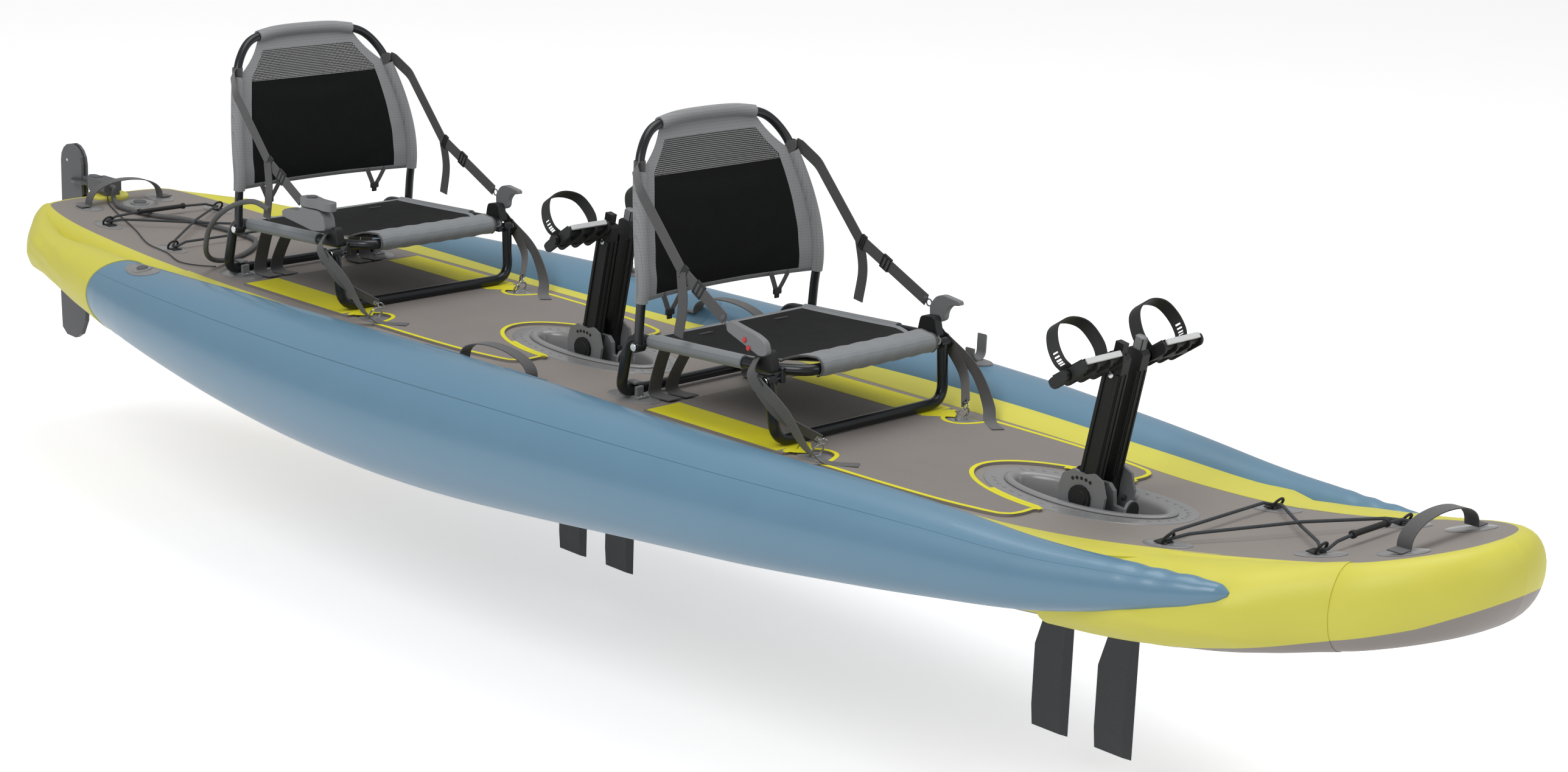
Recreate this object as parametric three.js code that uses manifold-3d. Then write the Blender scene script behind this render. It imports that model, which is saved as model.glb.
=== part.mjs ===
// Inflatable tandem pedal kayak, in millimetres: +X to the bow, +Y to port, +Z up,
// with the origin on the flat bottom of the hull, amidships.
import * as THREE from 'three';
import { mergeVertices } from 'three/addons/utils/BufferGeometryUtils.js';
import Module from 'manifold-3d';

const wasm = await Module();
wasm.setup();

// Driving sizes of the hull board, whose rounded bow ends a little short of the length
const hullLength = 4270;
const halfLength = hullLength / 2;
const boardThickness = 150;
const boardHalfWidth = 335;
const railDepth = 50;
const bowRise = 190;
const bowRiseStart = 0.50585 * halfLength;
const sternRise = 25;
const sternRiseStart = 0.67916 * halfLength;
const clearance = 0.3;
const overrun = 40;
const weldTolerance = 0.1;

// Side tubes
const tubeRadius = 144;
const tubeSpacing = 412;
const tubeDrop = 88;
const sleeveThickness = 3;
const planSteps = 34;
const boardLevels = 4;
const tubeSteps = 15;
const tubeSides = 12;

// Fore and aft places of what repeats: one seat and one drive in each cockpit
const cockpitPitch = 0.62998 * halfLength;
const frontWellX = 0.53396 * halfLength;
const wellReach = 0.47541 * halfLength;
const driveOffset = 15;
const frontSeatX = frontWellX - wellReach;
const cockpits = [
  { name: 'front', shift: 0 },
  { name: 'rear', shift: -cockpitPitch },
];
const sides = [
  { name: 'starboard', sign: -1 },
  { name: 'port', sign: 1 },
];

// Sleeves and walls of yellow cloth along the side tubes
const bowSleeveRoot = 0.60422 * halfLength;
const bowSleeveEnd = 0.85012 * halfLength;
const bowMouthTip = 0.77986 * halfLength;
const sternSleeveRoot = -0.62295 * halfLength;
const sternSleeveEnd = -0.96721 * halfLength;
const sternMouthTip = -0.74941 * halfLength;
const gunwaleStart = -0.61827 * halfLength;
const gunwaleEnd = 0.73068 * halfLength;

// Drive wells
const wellHalfLength = 172;
const wellHalfWidth = 58;
const wellTaper = 14;
const wellWall = 4;
const wellRimWidth = 20;
const wellRimHeight = 4;
const wellLedgeHeight = 70;
const wellLedgeLength = 26;
const wellSegments = 18;

// Deck pads, patches and small deck fittings
const padThickness = 4;
const padLift = 4 * clearance;
const padHalfWidth = 246;
const padStart = 92;
const padArcLength = 252;
const padTipGap = 10;
const padApex = wellReach - padArcLength;
const padReach = wellReach - padTipGap;
const padWellMargin = 74;
const padNotch = 50;
const patchThickness = 1.6;
const cordDiameter = 6;
const webbingThickness = 1.8;
const saddleLength = 40;
const saddleWidth = 20;
const saddleHeight = 30;
const ringSpacing = 205;
const ringRadius = 15;
const ringWire = 2;
const ringLean = 0.5;
const anchorRadius = 11;
const anchorTurn = 10;
const bowAnchors = { inner: [0.67354 * halfLength, 158], outer: [0.80656 * halfLength, 124] };
const sternAnchors = { inner: [-0.71663 * halfLength, 168], outer: [-0.8534 * halfLength, 160] };
const anchorPatch = [50, 26];
const ringPatch = [46, 27];
const saddlePatch = [66, 40];
const handlePatch = [46, 32];
const valvePlace = { x: -0.92178 * halfLength, y: 26, radius: 24, height: 5 };
const handleWidth = 28;
const bowHandle = { x: 0.87213 * halfLength, y: 100, lift: 47 };
const sternHandle = { x: -0.93583 * halfLength, y: 104, lift: 56 };
const tubeHandle = { x: -0.06089 * halfLength, y: 328, half: 106, lift: 46 };
const hookPlaces = { front: 0.23419 * halfLength, rear: -0.25059 * halfLength };
const hookInner = 15;
const hookWall = 5;
const hookHorn = 30;
const hookWidth = 24;
const hookFoot = [44, 26];
const tubeValve = { x: -0.63232 * halfLength, angle: 0.75, halfLength: 74, radius: 30 };

// Seats
const seatTube = 11;
const backTube = 9.5;
const seatHalfWidth = 215;
const saddleInset = 26;
const saddleSpacing = seatHalfWidth - saddleInset;
const legOutset = 27;
const legSpacing = seatHalfWidth + legOutset;
const seatRearHeight = 131;
const seatFrontHeight = 153;
const seatDepth = 475;
const ringAhead = 51;
const ringX = seatDepth + ringAhead;
const seatCornerCut = 60;
const seatFrontInset = 34;
const seatBend = 26;
const seatCornerBend = 42;
const rearLegRake = 12;
const crossTubeGap = 30;
const footHeight = padLift + padThickness + clearance + seatTube;
const legPivotX = 0.90947 * seatDepth;
const legPivotHeight = 134;
const legLean = 14;
const legFootInset = 6;
const backPivotX = 68;
const backPivotHeight = 126;
const backTopHeight = 555;
const backRake = 90;
const pinRadius = 4;
const pinHead = 3;
const hubHalfWidth = 11.5;
const fabricThickness = 3;
const backSag = 26;
const seatSag = 15;
const sleeveLowShare = 0.21;
const sleeveHighShare = 0.78;
const topSleeveHalf = 130;
const slingStart = 76;
const slingSideEnd = 0.72632 * seatDepth;
const slingFrontHalf = 135;
const holdDownY = 150;
const holdDownWidth = 38;
const strapWidth = 25;
const buckleThickness = 7;
const fittingSize = 100;
const fittingThickness = 14;
const steerBaseThickness = 30;
const leverThickness = 20;
const steerPivotShare = [-0.8, 0.92];
const backSteps = 20;
const backSides = 6;

// Pedal drives
const drivePivotHeight = 14;
const armLength = 262;
const armLean = 0.19;
const armInner = 16;
const armThickness = 22;
const armChord = 38;
const hubRadius = 22;
const sectorRadius = 56;
const sectorThickness = 5;
const driveShaft = 6;
const driveCap = 24;
const capThickness = 6;
const sidePlateInner = 39;
const sidePlateThickness = 6;
const corePlate = 10;
const pedalInset = 56;
const pedalWidth = 112;
const pedalLength = 92;
const pedalThickness = 24;
const pedalShaft = 7.5;
const pedalPitch = -0.6;
const toeStrapHeight = 96;
const toeStrapWidth = 30;
const toeStrapThickness = 3;
const footBarHalf = 148;
const footBarHalfWidth = 11;
const footBarThickness = 20;
const finAxisHeight = -146;
const finChord = 90;
const finTop = 24;
const finLength = 320;
const finThickness = 11;
const mastRadius = 5;
const frontMast = 115;
const rearMast = -35;
const finHub = 10;
const finShaft = 5;
const knobRadius = 19;
const knobReach = 92;
const cheekSize = 100;
const bridgeThickness = 14;
const bridgeDrop = 36;
const finHubHalf = 17;
const stopLength = 4;
const stopRadius = 6.5;
const bossRadius = 13;

// Rudder
const rudderBehind = { axis: 7, front: 45, pin: 95, back: 141 };
const rudderAxisX = -halfLength - rudderBehind.axis;
const rudderPlateBack = -halfLength - rudderBehind.back;
const rudderPlateFront = -halfLength - rudderBehind.front;
const rudderTop = 132;
const rudderForkBottom = -60;
const rudderTip = -384;
const rudderThickness = 20;
const rudderGroove = 5;
const rudderSlot = 12.8;
const bladeThickness = 12;
const bladePinX = -halfLength - rudderBehind.pin;
const bladePinHeight = -20;
const bladeHub = 22;
const yokeHeight = 37;
const yokeThickness = 7;
const bracketAhead = 46;
const rudderPadAhead = 63;
const rudderPad = { x: rudderPadAhead - halfLength, radius: 50, thickness: 4 };
const bracketSize = { x: bracketAhead - halfLength, length: 78, width: 50, top: 62, bottom: 35 };
const earThickness = 6;
const hubSpan = [31, 57];
const headHub = 11;
const bladeChord = 110;

// Cords
const conduitRadius = 6;
const lineRadius = 1.5;

const deckHeight = boardThickness;

// Colours of the pieces
const colours = {
  grey: ['#9a9693', 0.75, 0],
  yellow: ['#ede85a', 0.6, 0],
  blue: ['#6f9ab5', 0.45, 0],
  plastic: ['#6d6e70', 0.5, 0],
  dark: ['#4a4a4c', 0.6, 0],
  black: ['#161718', 0.4, 0.1],
  tube: ['#1b1e21', 0.3, 0.4],
  fabric: ['#8b8884', 0.9, 0],
  webbing: ['#4b4a4b', 0.9, 0],
  steel: ['#c9c9c7', 0.25, 0.9],
};

const kayak = new THREE.Group();

// Shape helpers

function vec(x, y, z) {
  return new THREE.Vector3(x, y, z);
}

// How far the deck rises above its flat middle at a place along the hull.
function rise(x) {
  if (x > bowRiseStart) {
    return bowRise * ((x - bowRiseStart) / (halfLength - bowRiseStart)) ** 2;
  }
  if (x < -sternRiseStart) {
    return sternRise * ((-x - sternRiseStart) / (halfLength - sternRiseStart)) ** 2;
  }
  return 0;
}

function deckZ(x) {
  return deckHeight + rise(x);
}

// A closed body from rings of points, with flat ends.
function loft(rings, closed = false) {
  const count = rings[0].length;
  const positions = [];
  const index = [];
  for (const ring of rings) {
    for (const point of ring) positions.push(point.x, point.y, point.z);
  }
  const spans = closed ? rings.length : rings.length - 1;
  for (let i = 0; i < spans; i += 1) {
    const a = i * count;
    const b = ((i + 1) % rings.length) * count;
    for (let j = 0; j < count; j += 1) {
      const k = (j + 1) % count;
      index.push(a + j, b + j, b + k, a + j, b + k, a + k);
    }
  }
  if (!closed) {
    for (const [ring, flip] of [[0, true], [rings.length - 1, false]]) {
      const outline = rings[ring];
      const centre = outline.reduce((sum, p) => sum.add(p), vec(0, 0, 0)).divideScalar(count);
      const hub = positions.length / 3;
      positions.push(centre.x, centre.y, centre.z);
      for (let j = 0; j < count; j += 1) {
        const k = (j + 1) % count;
        const a = ring * count + j;
        const b = ring * count + k;
        if (flip) index.push(hub, a, b);
        else index.push(hub, b, a);
      }
    }
  }
  const geometry = new THREE.BufferGeometry();
  geometry.setAttribute('position', new THREE.Float32BufferAttribute(positions, 3));
  geometry.setIndex(index);
  return outward(geometry);
}

// Turns the faces round if they point into the body.
function outward(geometry) {
  const p = geometry.attributes.position;
  const index = geometry.index.array;
  let volume = 0;
  const [a, b, c] = [vec(0, 0, 0), vec(0, 0, 0), vec(0, 0, 0)];
  for (let i = 0; i < index.length; i += 3) {
    a.fromBufferAttribute(p, index[i]);
    b.fromBufferAttribute(p, index[i + 1]);
    c.fromBufferAttribute(p, index[i + 2]);
    volume += a.dot(b.cross(c));
  }
  if (volume < 0) {
    for (let i = 0; i < index.length; i += 3) {
      const keep = index[i + 1];
      index[i + 1] = index[i + 2];
      index[i + 2] = keep;
    }
  }
  return geometry;
}

function bare(geometry) {
  const copy = geometry.clone();
  copy.deleteAttribute('normal');
  copy.deleteAttribute('uv');
  return mergeVertices(copy, 1e-3);
}

function solid(geometry) {
  const closed = bare(geometry);
  const mesh = new wasm.Mesh({
    numProp: 3,
    vertProperties: new Float32Array(closed.attributes.position.array),
    triVerts: new Uint32Array(closed.index.array),
  });
  return new wasm.Manifold(mesh);
}

function fromSolid(body) {
  const mesh = body.simplify(weldTolerance).getMesh();
  const geometry = new THREE.BufferGeometry();
  geometry.setAttribute('position', new THREE.BufferAttribute(mesh.vertProperties, 3));
  geometry.setIndex(new THREE.BufferAttribute(mesh.triVerts, 1));
  return geometry;
}

function join(...geometries) {
  return fromSolid(geometries.map(solid).reduce((sum, body) => sum.add(body)));
}

function cut(geometry, ...cutters) {
  return fromSolid(cutters.map(solid).reduce((rest, body) => rest.subtract(body), solid(geometry)));
}

function add(name, geometry, colour) {
  const [hex, roughness, metalness] = colours[colour];
  const material = new THREE.MeshStandardMaterial({ color: hex, roughness, metalness });
  const mesh = new THREE.Mesh(geometry, material);
  mesh.name = name;
  kayak.add(mesh);
  return mesh;
}

function at(geometry, x, y, z) {
  return geometry.clone().translate(x, y, z);
}

// The same body on the other side of the centre plane.
function mirrored(geometry) {
  const copy = bare(geometry).scale(1, -1, 1);
  return outward(copy);
}

// A route through chosen points, for a section to follow.
class Route extends THREE.Curve {
  constructor(points) {
    super();
    this.points = points;
  }

  getPoint(t) {
    const place = t * (this.points.length - 1);
    const i = Math.min(Math.floor(place), this.points.length - 2);
    return this.points[i].clone().lerp(this.points[i + 1], place - i);
  }

  getPointAt(u) {
    return this.getPoint(u);
  }

  getSpacedPoints() {
    return this.points;
  }

  getTangentAt(u) {
    const last = this.points.length - 1;
    const i = Math.round(u * last);
    const before = this.points[Math.max(i - 1, 0)];
    const here = this.points[i];
    const after = this.points[Math.min(i + 1, last)];
    const into = here.clone().sub(before).normalize();
    const out = after.clone().sub(here).normalize();
    return into.add(out).normalize();
  }
}

// Rounds the corners of a path of points, each with its own radius.
function rounded(points, radii, steps = 2) {
  const path = [points[0]];
  for (let i = 1; i < points.length - 1; i += 1) {
    const corner = points[i];
    const radius = radii[i - 1];
    const back = points[i - 1].clone().sub(corner);
    const ahead = points[i + 1].clone().sub(corner);
    const turn = (Math.PI - back.angleTo(ahead)) / 2;
    const reach = Math.min(radius * Math.tan(turn), back.length() / 2, ahead.length() / 2);
    const start = corner.clone().add(back.setLength(reach));
    const end = corner.clone().add(ahead.setLength(reach));
    const bend = new THREE.QuadraticBezierCurve3(start, corner, end);
    for (let k = 0; k <= steps; k += 1) path.push(bend.getPoint(k / steps));
  }
  path.push(points[points.length - 1]);
  return path;
}

function smooth(points, count) {
  return new THREE.CatmullRomCurve3(points, false, 'centripetal').getPoints(count);
}

function ringShape(radius, count) {
  const points = [];
  for (let i = 0; i < count; i += 1) {
    const a = (i / count) * 2 * Math.PI;
    points.push(new THREE.Vector2(radius * Math.cos(a), radius * Math.sin(a)));
  }
  return new THREE.Shape(points);
}

function swept(shape, points) {
  return new THREE.ExtrudeGeometry(shape, {
    steps: points.length - 1,
    extrudePath: new Route(points),
    bevelEnabled: false,
  });
}

function tube(points, radius, count = 8) {
  return swept(ringShape(radius, count), points);
}

// Radius of a many-sided bore that clears a tube all round.
function boreFor(radius, count) {
  return (radius + clearance) / Math.cos(Math.PI / count);
}

// A sleeve of cloth along points, hollow for the tube it goes over.
function sleeveOver(points, radius, count = 8) {
  const bore = boreFor(radius, count);
  const shape = ringShape(bore + fabricThickness, count);
  shape.holes.push(new THREE.Path(ringShape(bore, count).getPoints().slice(0, count)));
  return swept(shape, points);
}

// Points of a half path, carried on by its mirror image to the far side.
function bothHalves(half) {
  const last = half[half.length - 1];
  const near = last.y === 0 ? half.slice(0, -1) : half;
  return [...half, ...near.map((p) => vec(p.x, -p.y, p.z)).reverse()];
}

// A flat strap along points, its width lying along one direction, or along one for
// each point.
function strap(points, width, direction, thickness = webbingThickness) {
  const rings = points.map((point, i) => {
    const across = Array.isArray(direction) ? direction[i] : direction;
    const before = points[Math.max(i - 1, 0)];
    const after = points[Math.min(i + 1, points.length - 1)];
    const along = after.clone().sub(before).normalize();
    const side = across.clone().addScaledVector(along, -across.dot(along)).normalize();
    const up = along.clone().cross(side);
    const corner = (a, b) => point.clone()
      .addScaledVector(side, a * width / 2)
      .addScaledVector(up, b * thickness / 2);
    return [corner(-1, -1), corner(1, -1), corner(1, 1), corner(-1, 1)];
  });
  return loft(rings);
}

// A sheet of cloth over rows of points, with its thickness along one direction.
function sheet(rows, direction, thickness = fabricThickness) {
  const offset = direction.clone().setLength(thickness);
  const [m, n] = [rows.length, rows[0].length];
  const points = rows.flat();
  const positions = [...points, ...points.map((p) => p.clone().add(offset))].flatMap((p) => p.toArray());
  const index = [];
  const back = m * n;
  for (let i = 0; i < m - 1; i += 1) {
    for (let j = 0; j < n - 1; j += 1) {
      const [a, b, c, d] = [i * n + j, (i + 1) * n + j, (i + 1) * n + j + 1, i * n + j + 1];
      index.push(a, b, c, a, c, d);
      index.push(back + a, back + c, back + b, back + a, back + d, back + c);
    }
  }
  const rim = [];
  for (let i = 0; i < m; i += 1) rim.push(i * n);
  for (let j = 1; j < n; j += 1) rim.push((m - 1) * n + j);
  for (let i = m - 2; i >= 0; i -= 1) rim.push(i * n + n - 1);
  for (let j = n - 2; j > 0; j -= 1) rim.push(j);
  rim.forEach((p, k) => {
    const q = rim[(k + 1) % rim.length];
    index.push(q, p, back + p, q, back + p, back + q);
  });
  const geometry = new THREE.BufferGeometry();
  geometry.setAttribute('position', new THREE.Float32BufferAttribute(positions, 3));
  geometry.setIndex(index);
  return outward(geometry);
}

// An ellipse in plan, extruded upwards from a height.
function oval(halfX, halfY, height, count = 16) {
  const points = [];
  for (let i = 0; i < count; i += 1) {
    const a = (i / count) * 2 * Math.PI;
    points.push(new THREE.Vector2(halfX * Math.cos(a), halfY * Math.sin(a)));
  }
  return new THREE.ExtrudeGeometry(new THREE.Shape(points), { depth: height, bevelEnabled: false });
}

function ovalRing(halfX, halfY, x, z, count) {
  const ring = [];
  for (let i = 0; i < count; i += 1) {
    const a = (i / count) * 2 * Math.PI;
    ring.push(vec(x + halfX * Math.cos(a), halfY * Math.sin(a), z));
  }
  return ring;
}

// A prism in the fore and aft plane, centred on the plane y = 0.
function sidePlate(outline, thickness) {
  const shape = new THREE.Shape(outline.map(([x, z]) => new THREE.Vector2(x, z)));
  const plate = new THREE.ExtrudeGeometry(shape, { depth: thickness, bevelEnabled: false });
  return plate.rotateX(Math.PI / 2).translate(0, thickness / 2, 0);
}

function rod(radius, length, count = 12) {
  return new THREE.CylinderGeometry(radius, radius, length, count);
}

function block(x, y, z) {
  return new THREE.BoxGeometry(x, y, z);
}

// Plan of the hull, as shares of half the length and of the half width, stern to bow.
const planShares = [
  [-1, 0], [-0.999, 0.34], [-0.988, 0.58], [-0.958, 0.7], [-0.883, 0.8], [-0.768, 0.87],
  [-0.67, 0.925], [-0.546, 0.98], [-0.35, 1], [0, 1], [0.253, 0.985], [0.43, 0.937],
  [0.58, 0.82], [0.68, 0.722], [0.76, 0.683], [0.83, 0.69], [0.866, 0.675], [0.893, 0.6],
  [0.917, 0.485], [0.937, 0.33], [0.9475, 0.165], [0.951, 0],
];

function planHalf() {
  const points = planShares.map(([a, b]) => new THREE.Vector2(a * halfLength, b * boardHalfWidth));
  return new THREE.SplineCurve(points).getPoints(planSteps);
}

const hullPlan = planHalf();

// Half width of the flat deck at a place along the hull.
function deckHalfWidth(x) {
  for (let i = 1; i < hullPlan.length; i += 1) {
    const [a, b] = [hullPlan[i - 1], hullPlan[i]];
    if (x >= a.x && x <= b.x) {
      return a.y + (b.y - a.y) * (x - a.x) / (b.x - a.x) - railDepth;
    }
  }
  return 0;
}

// The board: rings of its plan, drawn in towards the deck and towards the bottom.
function boardShape(grow = 0) {
  const levels = boardLevels;
  const half = hullPlan;
  const ring = [...half, ...half.slice(1, -1).reverse().map((p) => new THREE.Vector2(p.x, -p.y))];
  const count = ring.length;
  const normals = ring.map((point, i) => {
    const before = ring[(i + count - 1) % count];
    const after = ring[(i + 1) % count];
    return new THREE.Vector2(-(after.y - before.y), after.x - before.x).normalize();
  });
  const positions = [];
  const index = [];
  for (let k = 0; k <= levels; k += 1) {
    const angle = (k / levels - 0.5) * Math.PI;
    const inset = railDepth * (1 - Math.cos(angle)) - grow;
    const z = (boardThickness / 2) * (1 + Math.sin(angle)) + grow * Math.sin(angle);
    for (let i = 0; i < count; i += 1) {
      const x = ring[i].x - inset * normals[i].x;
      const y = ring[i].y - inset * normals[i].y;
      positions.push(x, y, z + rise(x));
    }
  }
  for (let k = 0; k < levels; k += 1) {
    for (let i = 0; i < count; i += 1) {
      const j = (i + 1) % count;
      const [a, b] = [k * count + i, k * count + j];
      index.push(a, b, b + count, a, b + count, a + count);
    }
  }
  const last = half.length - 1;
  for (const [base, flip] of [[0, false], [levels * count, true]]) {
    const other = (i) => base + (count - i) % count;
    for (let i = 0; i < last; i += 1) {
      const quad = [base + i, base + i + 1, other(i + 1), other(i)];
      const faces = [[quad[0], quad[1], quad[2]], [quad[0], quad[2], quad[3]]];
      for (const face of faces) {
        if (new Set(face).size < 3) continue;
        if (flip) face.reverse();
        index.push(...face.map((v) => v).reverse());
      }
    }
  }
  const geometry = new THREE.BufferGeometry();
  geometry.setAttribute('position', new THREE.Float32BufferAttribute(positions, 3));
  geometry.setIndex(index);
  return outward(geometry);
}

// Centre line and radius of a side tube, as shares of its driving sizes, stern to bow:
// place along the hull, radius, distance from the centre plane, drop below the deck.
const tubeShares = [
  [-0.905, 0.03, 0.74, 0.45], [-0.9, 0.12, 0.745, 0.46], [-0.885, 0.2, 0.755, 0.48],
  [-0.84, 0.31, 0.785, 0.52], [-0.76, 0.44, 0.85, 0.6], [-0.66, 0.58, 0.92, 0.7],
  [-0.515, 0.76, 0.97, 0.85], [-0.375, 0.9, 0.99, 0.97], [-0.235, 0.98, 1, 1.02],
  [-0.094, 1, 1, 0.98], [0.05, 0.92, 1.005, 0.84], [0.187, 0.815, 1.01, 0.68],
  [0.328, 0.73, 0.975, 0.57], [0.42, 0.665, 0.925, 0.5], [0.515, 0.57, 0.875, 0.42],
  [0.61, 0.43, 0.83, 0.33], [0.69, 0.3, 0.775, 0.1], [0.75, 0.19, 0.73, -0.12],
  [0.772, 0.12, 0.715, -0.22], [0.78, 0.03, 0.71, -0.25],
];
const tubeCurve = new THREE.CatmullRomCurve3(
  tubeShares.map(([a, , c, d]) => vec(a * halfLength, c * tubeSpacing, deckHeight - d * tubeDrop)),
);

function tubeRadiusAt(t) {
  const place = t * (tubeShares.length - 1);
  const i = Math.min(Math.floor(place), tubeShares.length - 2);
  const share = place - i;
  return tubeRadius * (tubeShares[i][1] * (1 - share) + tubeShares[i + 1][1] * share);
}

function tubeRings(extra, count = tubeSides) {
  const rings = [];
  for (let k = 0; k <= tubeSteps; k += 1) {
    const centre = tubeCurve.getPoint(k / tubeSteps);
    const radius = tubeRadiusAt(k / tubeSteps) + extra;
    const ring = [];
    for (let i = 0; i < count; i += 1) {
      const a = (i / count) * 2 * Math.PI;
      ring.push(vec(centre.x, centre.y + radius * Math.cos(a), centre.z + radius * Math.sin(a)));
    }
    rings.push(ring);
  }
  return rings;
}

// Centre and radius of the port tube at a place along the hull.
function tubeAt(x) {
  for (let k = 1; k <= tubeSteps; k += 1) {
    const [a, b] = [tubeCurve.getPoint((k - 1) / tubeSteps), tubeCurve.getPoint(k / tubeSteps)];
    if (x >= a.x && x <= b.x) {
      const share = (x - a.x) / (b.x - a.x);
      const centre = a.lerp(b, share);
      const radius = tubeRadiusAt((k - 1 + share) / tubeSteps);
      return { y: centre.y, z: centre.z, radius };
    }
  }
  return null;
}

const portTube = loft(tubeRings(0));
const portTubeRoom = loft(tubeRings(clearance * 3));
const board = boardShape();
const boardRoom = boardShape(clearance);

// Sleeves of yellow cloth that hold the ends of the side tubes to the hull:
// place along the hull, then centre and half sizes of an oval section.
function sleeve(stations, count = tubeSides) {
  const rings = stations.map(({ x, y, z, halfY, halfZ }) => {
    const ring = [];
    for (let i = 0; i < count; i += 1) {
      const a = (i / count) * 2 * Math.PI;
      ring.push(vec(x, y + halfY * Math.cos(a), z + halfZ * Math.sin(a)));
    }
    return ring;
  });
  return loft(rings);
}

function aroundTube(x, extra) {
  const { y, z, radius } = tubeAt(x);
  return { x, y, z, halfY: radius + extra, halfZ: radius + extra };
}

// The end of a sleeve, lying against the rail of the board.
function railSection(x, out, halfY, halfZ) {
  return { x, y: deckHalfWidth(x) + railDepth + out - halfY, z: deckZ(x) - boardThickness / 2, halfY, halfZ };
}

// Mouth of a sleeve: a blunt arch, cut from the outside, where the tube comes out.
function mouth(rootX, tipX, centreZ, halfHeight, innerY, outerY) {
  const steps = 8;
  const outline = [];
  for (let i = 0; i <= steps; i += 1) {
    const a = (i / steps - 0.5) * Math.PI;
    outline.push([rootX + (tipX - rootX) * Math.cos(a), centreZ + halfHeight * Math.sin(a)]);
  }
  const plate = sidePlate(outline, outerY - innerY);
  return plate.translate(0, (outerY + innerY) / 2, 0);
}

// Stations of a sleeve on the tube: place along the sleeve from its root, and how far
// it stands off the tube in thicknesses of the cloth.
const bowTubeShares = [[0, 1.2], [0.2, 2], [0.4, 4]];
const sternTubeShares = [[0, 1.2], [0.163, 2], [0.367, 5]];

// Stations on the rail: place along the sleeve, how far it stands out, half width and
// half height, as shares of the board's thickness.
const bowRailShares = [
  [0.59, 0.307, 0.413, 0.44], [0.78, 0.16, 0.333, 0.44], [0.914, 0.067, 0.227, 0.413],
  [1, 0, 0.12, 0.3],
];
const sternRailShares = [
  [0.585, 0.373, 0.56, 0.507], [0.776, 0.213, 0.467, 0.48], [0.912, 0.067, 0.333, 0.44],
  [1, 0, 0.15, 0.3],
];

const sleeves = {
  bow: {
    root: bowSleeveRoot, end: bowSleeveEnd, tip: bowMouthTip, onTube: bowTubeShares, onRail: bowRailShares,
  },
  stern: {
    root: sternSleeveRoot, end: sternSleeveEnd, tip: sternMouthTip,
    onTube: sternTubeShares, onRail: sternRailShares,
  },
};

function sleeveBody({ root, end, onTube, onRail }, grow) {
  const place = (share) => root + (end - root) * share;
  const stations = [
    ...onTube.map(([along, layers]) => aroundTube(place(along), layers * sleeveThickness)),
    ...onRail.map(([along, ...sizes]) => railSection(
      place(along), ...sizes.map((share) => share * boardThickness),
    )),
  ];
  return sleeve(stations.map((s) => ({ ...s, halfY: s.halfY + grow, halfZ: s.halfZ + grow })));
}

function tubeSleeve(kind) {
  const { root, end, tip } = kind;
  const body = sleeveBody(kind, 0);
  const { y, z, radius } = tubeAt(root);
  const back = root - Math.sign(end - root) * radius;
  const arch = mouth(back, tip, z, radius * 1.1, y - radius * 0.15, y + radius * 4);
  return cut(body, portTubeRoom, boardRoom, arch);
}

// Yellow walls that close the corner between the deck and a side tube.
function gunwale() {
  const steps = 16;
  const climb = 0.8;
  const rings = [];
  for (let k = 0; k <= steps; k += 1) {
    const x = gunwaleStart + (gunwaleEnd - gunwaleStart) * k / steps;
    const { y, z, radius } = tubeAt(x);
    const inner = deckHalfWidth(x) - fabricThickness;
    const base = deckZ(x) + clearance;
    const topY = y - (radius - sleeveThickness) * Math.sin(climb);
    const topZ = Math.max(z + (radius - sleeveThickness) * Math.cos(climb), base + fabricThickness);
    const outer = Math.max(y, topY + fabricThickness / 3);
    rings.push([
      vec(x, inner, base), vec(x, outer, base), vec(x, outer, topZ), vec(x, topY, topZ),
      vec(x, (inner + topY) / 2, base + (topZ - base) * 0.62),
    ]);
  }
  const rooms = Object.values(sleeves).map((kind) => sleeveBody(kind, clearance));
  return cut(loft(rings), portTubeRoom, boardRoom, ...rooms);
}

// Hull

const wellSlope = wellTaper / boardThickness;

function wellCutter() {
  const rings = [-overrun, clearance, deckHeight + padLift, deckHeight + overrun].map((z) => {
    const shrink = wellSlope * (deckHeight - z);
    return ovalRing(wellHalfLength - shrink, wellHalfWidth - shrink, 0, z, wellSegments);
  });
  return loft(rings);
}

// Moves a body to its place along the hull and bends it up with the deck there.
function onDeck(geometry, x) {
  const placed = bare(at(geometry, x, 0, 0));
  const p = placed.attributes.position;
  for (let i = 0; i < p.count; i += 1) p.setZ(i, p.getZ(i) + rise(p.getX(i)));
  return placed;
}

const wellRooms = cockpits.map(({ shift }) => onDeck(wellCutter(), frontWellX + shift));

// An oval patch welded to the deck, tilted as the deck is there.
function patch(x, y, [halfX, halfY], height = patchThickness) {
  const slope = Math.atan((deckZ(x + halfX) - deckZ(x - halfX)) / (2 * halfX));
  const disc = oval(halfX, halfY, height * 2, 8);
  return at(disc.translate(0, 0, -height).rotateY(-slope), x, y, deckZ(x));
}

// A loop that stands on a patch, for a cord or a hook to run through.
function deckLoop(x, y, lean, radius, wire) {
  const loop = new THREE.TorusGeometry(radius, wire, 3, 6);
  loop.rotateY(Math.PI / 2 + lean).translate(0, 0, radius * 0.8);
  const slope = Math.atan((deckZ(x + radius) - deckZ(x - radius)) / (2 * radius));
  return at(loop.rotateY(-slope), x, y, deckZ(x));
}

// Clamp that holds the rear cross tube of a seat, with a bore along Y.
function saddle(y) {
  const body = at(block(saddleLength, saddleWidth, saddleHeight), 0, 0, saddleHeight / 2);
  const bore = rod(boreFor(seatTube, 8), saddleWidth + overrun, 8);
  const base = at(block(saddleLength * 1.5, saddleWidth * 1.4, patchThickness * 2), 0, 0, 0);
  return at(cut(join(body, base), at(bore, 0, 0, footHeight)), 0, y, deckHeight);
}

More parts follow.
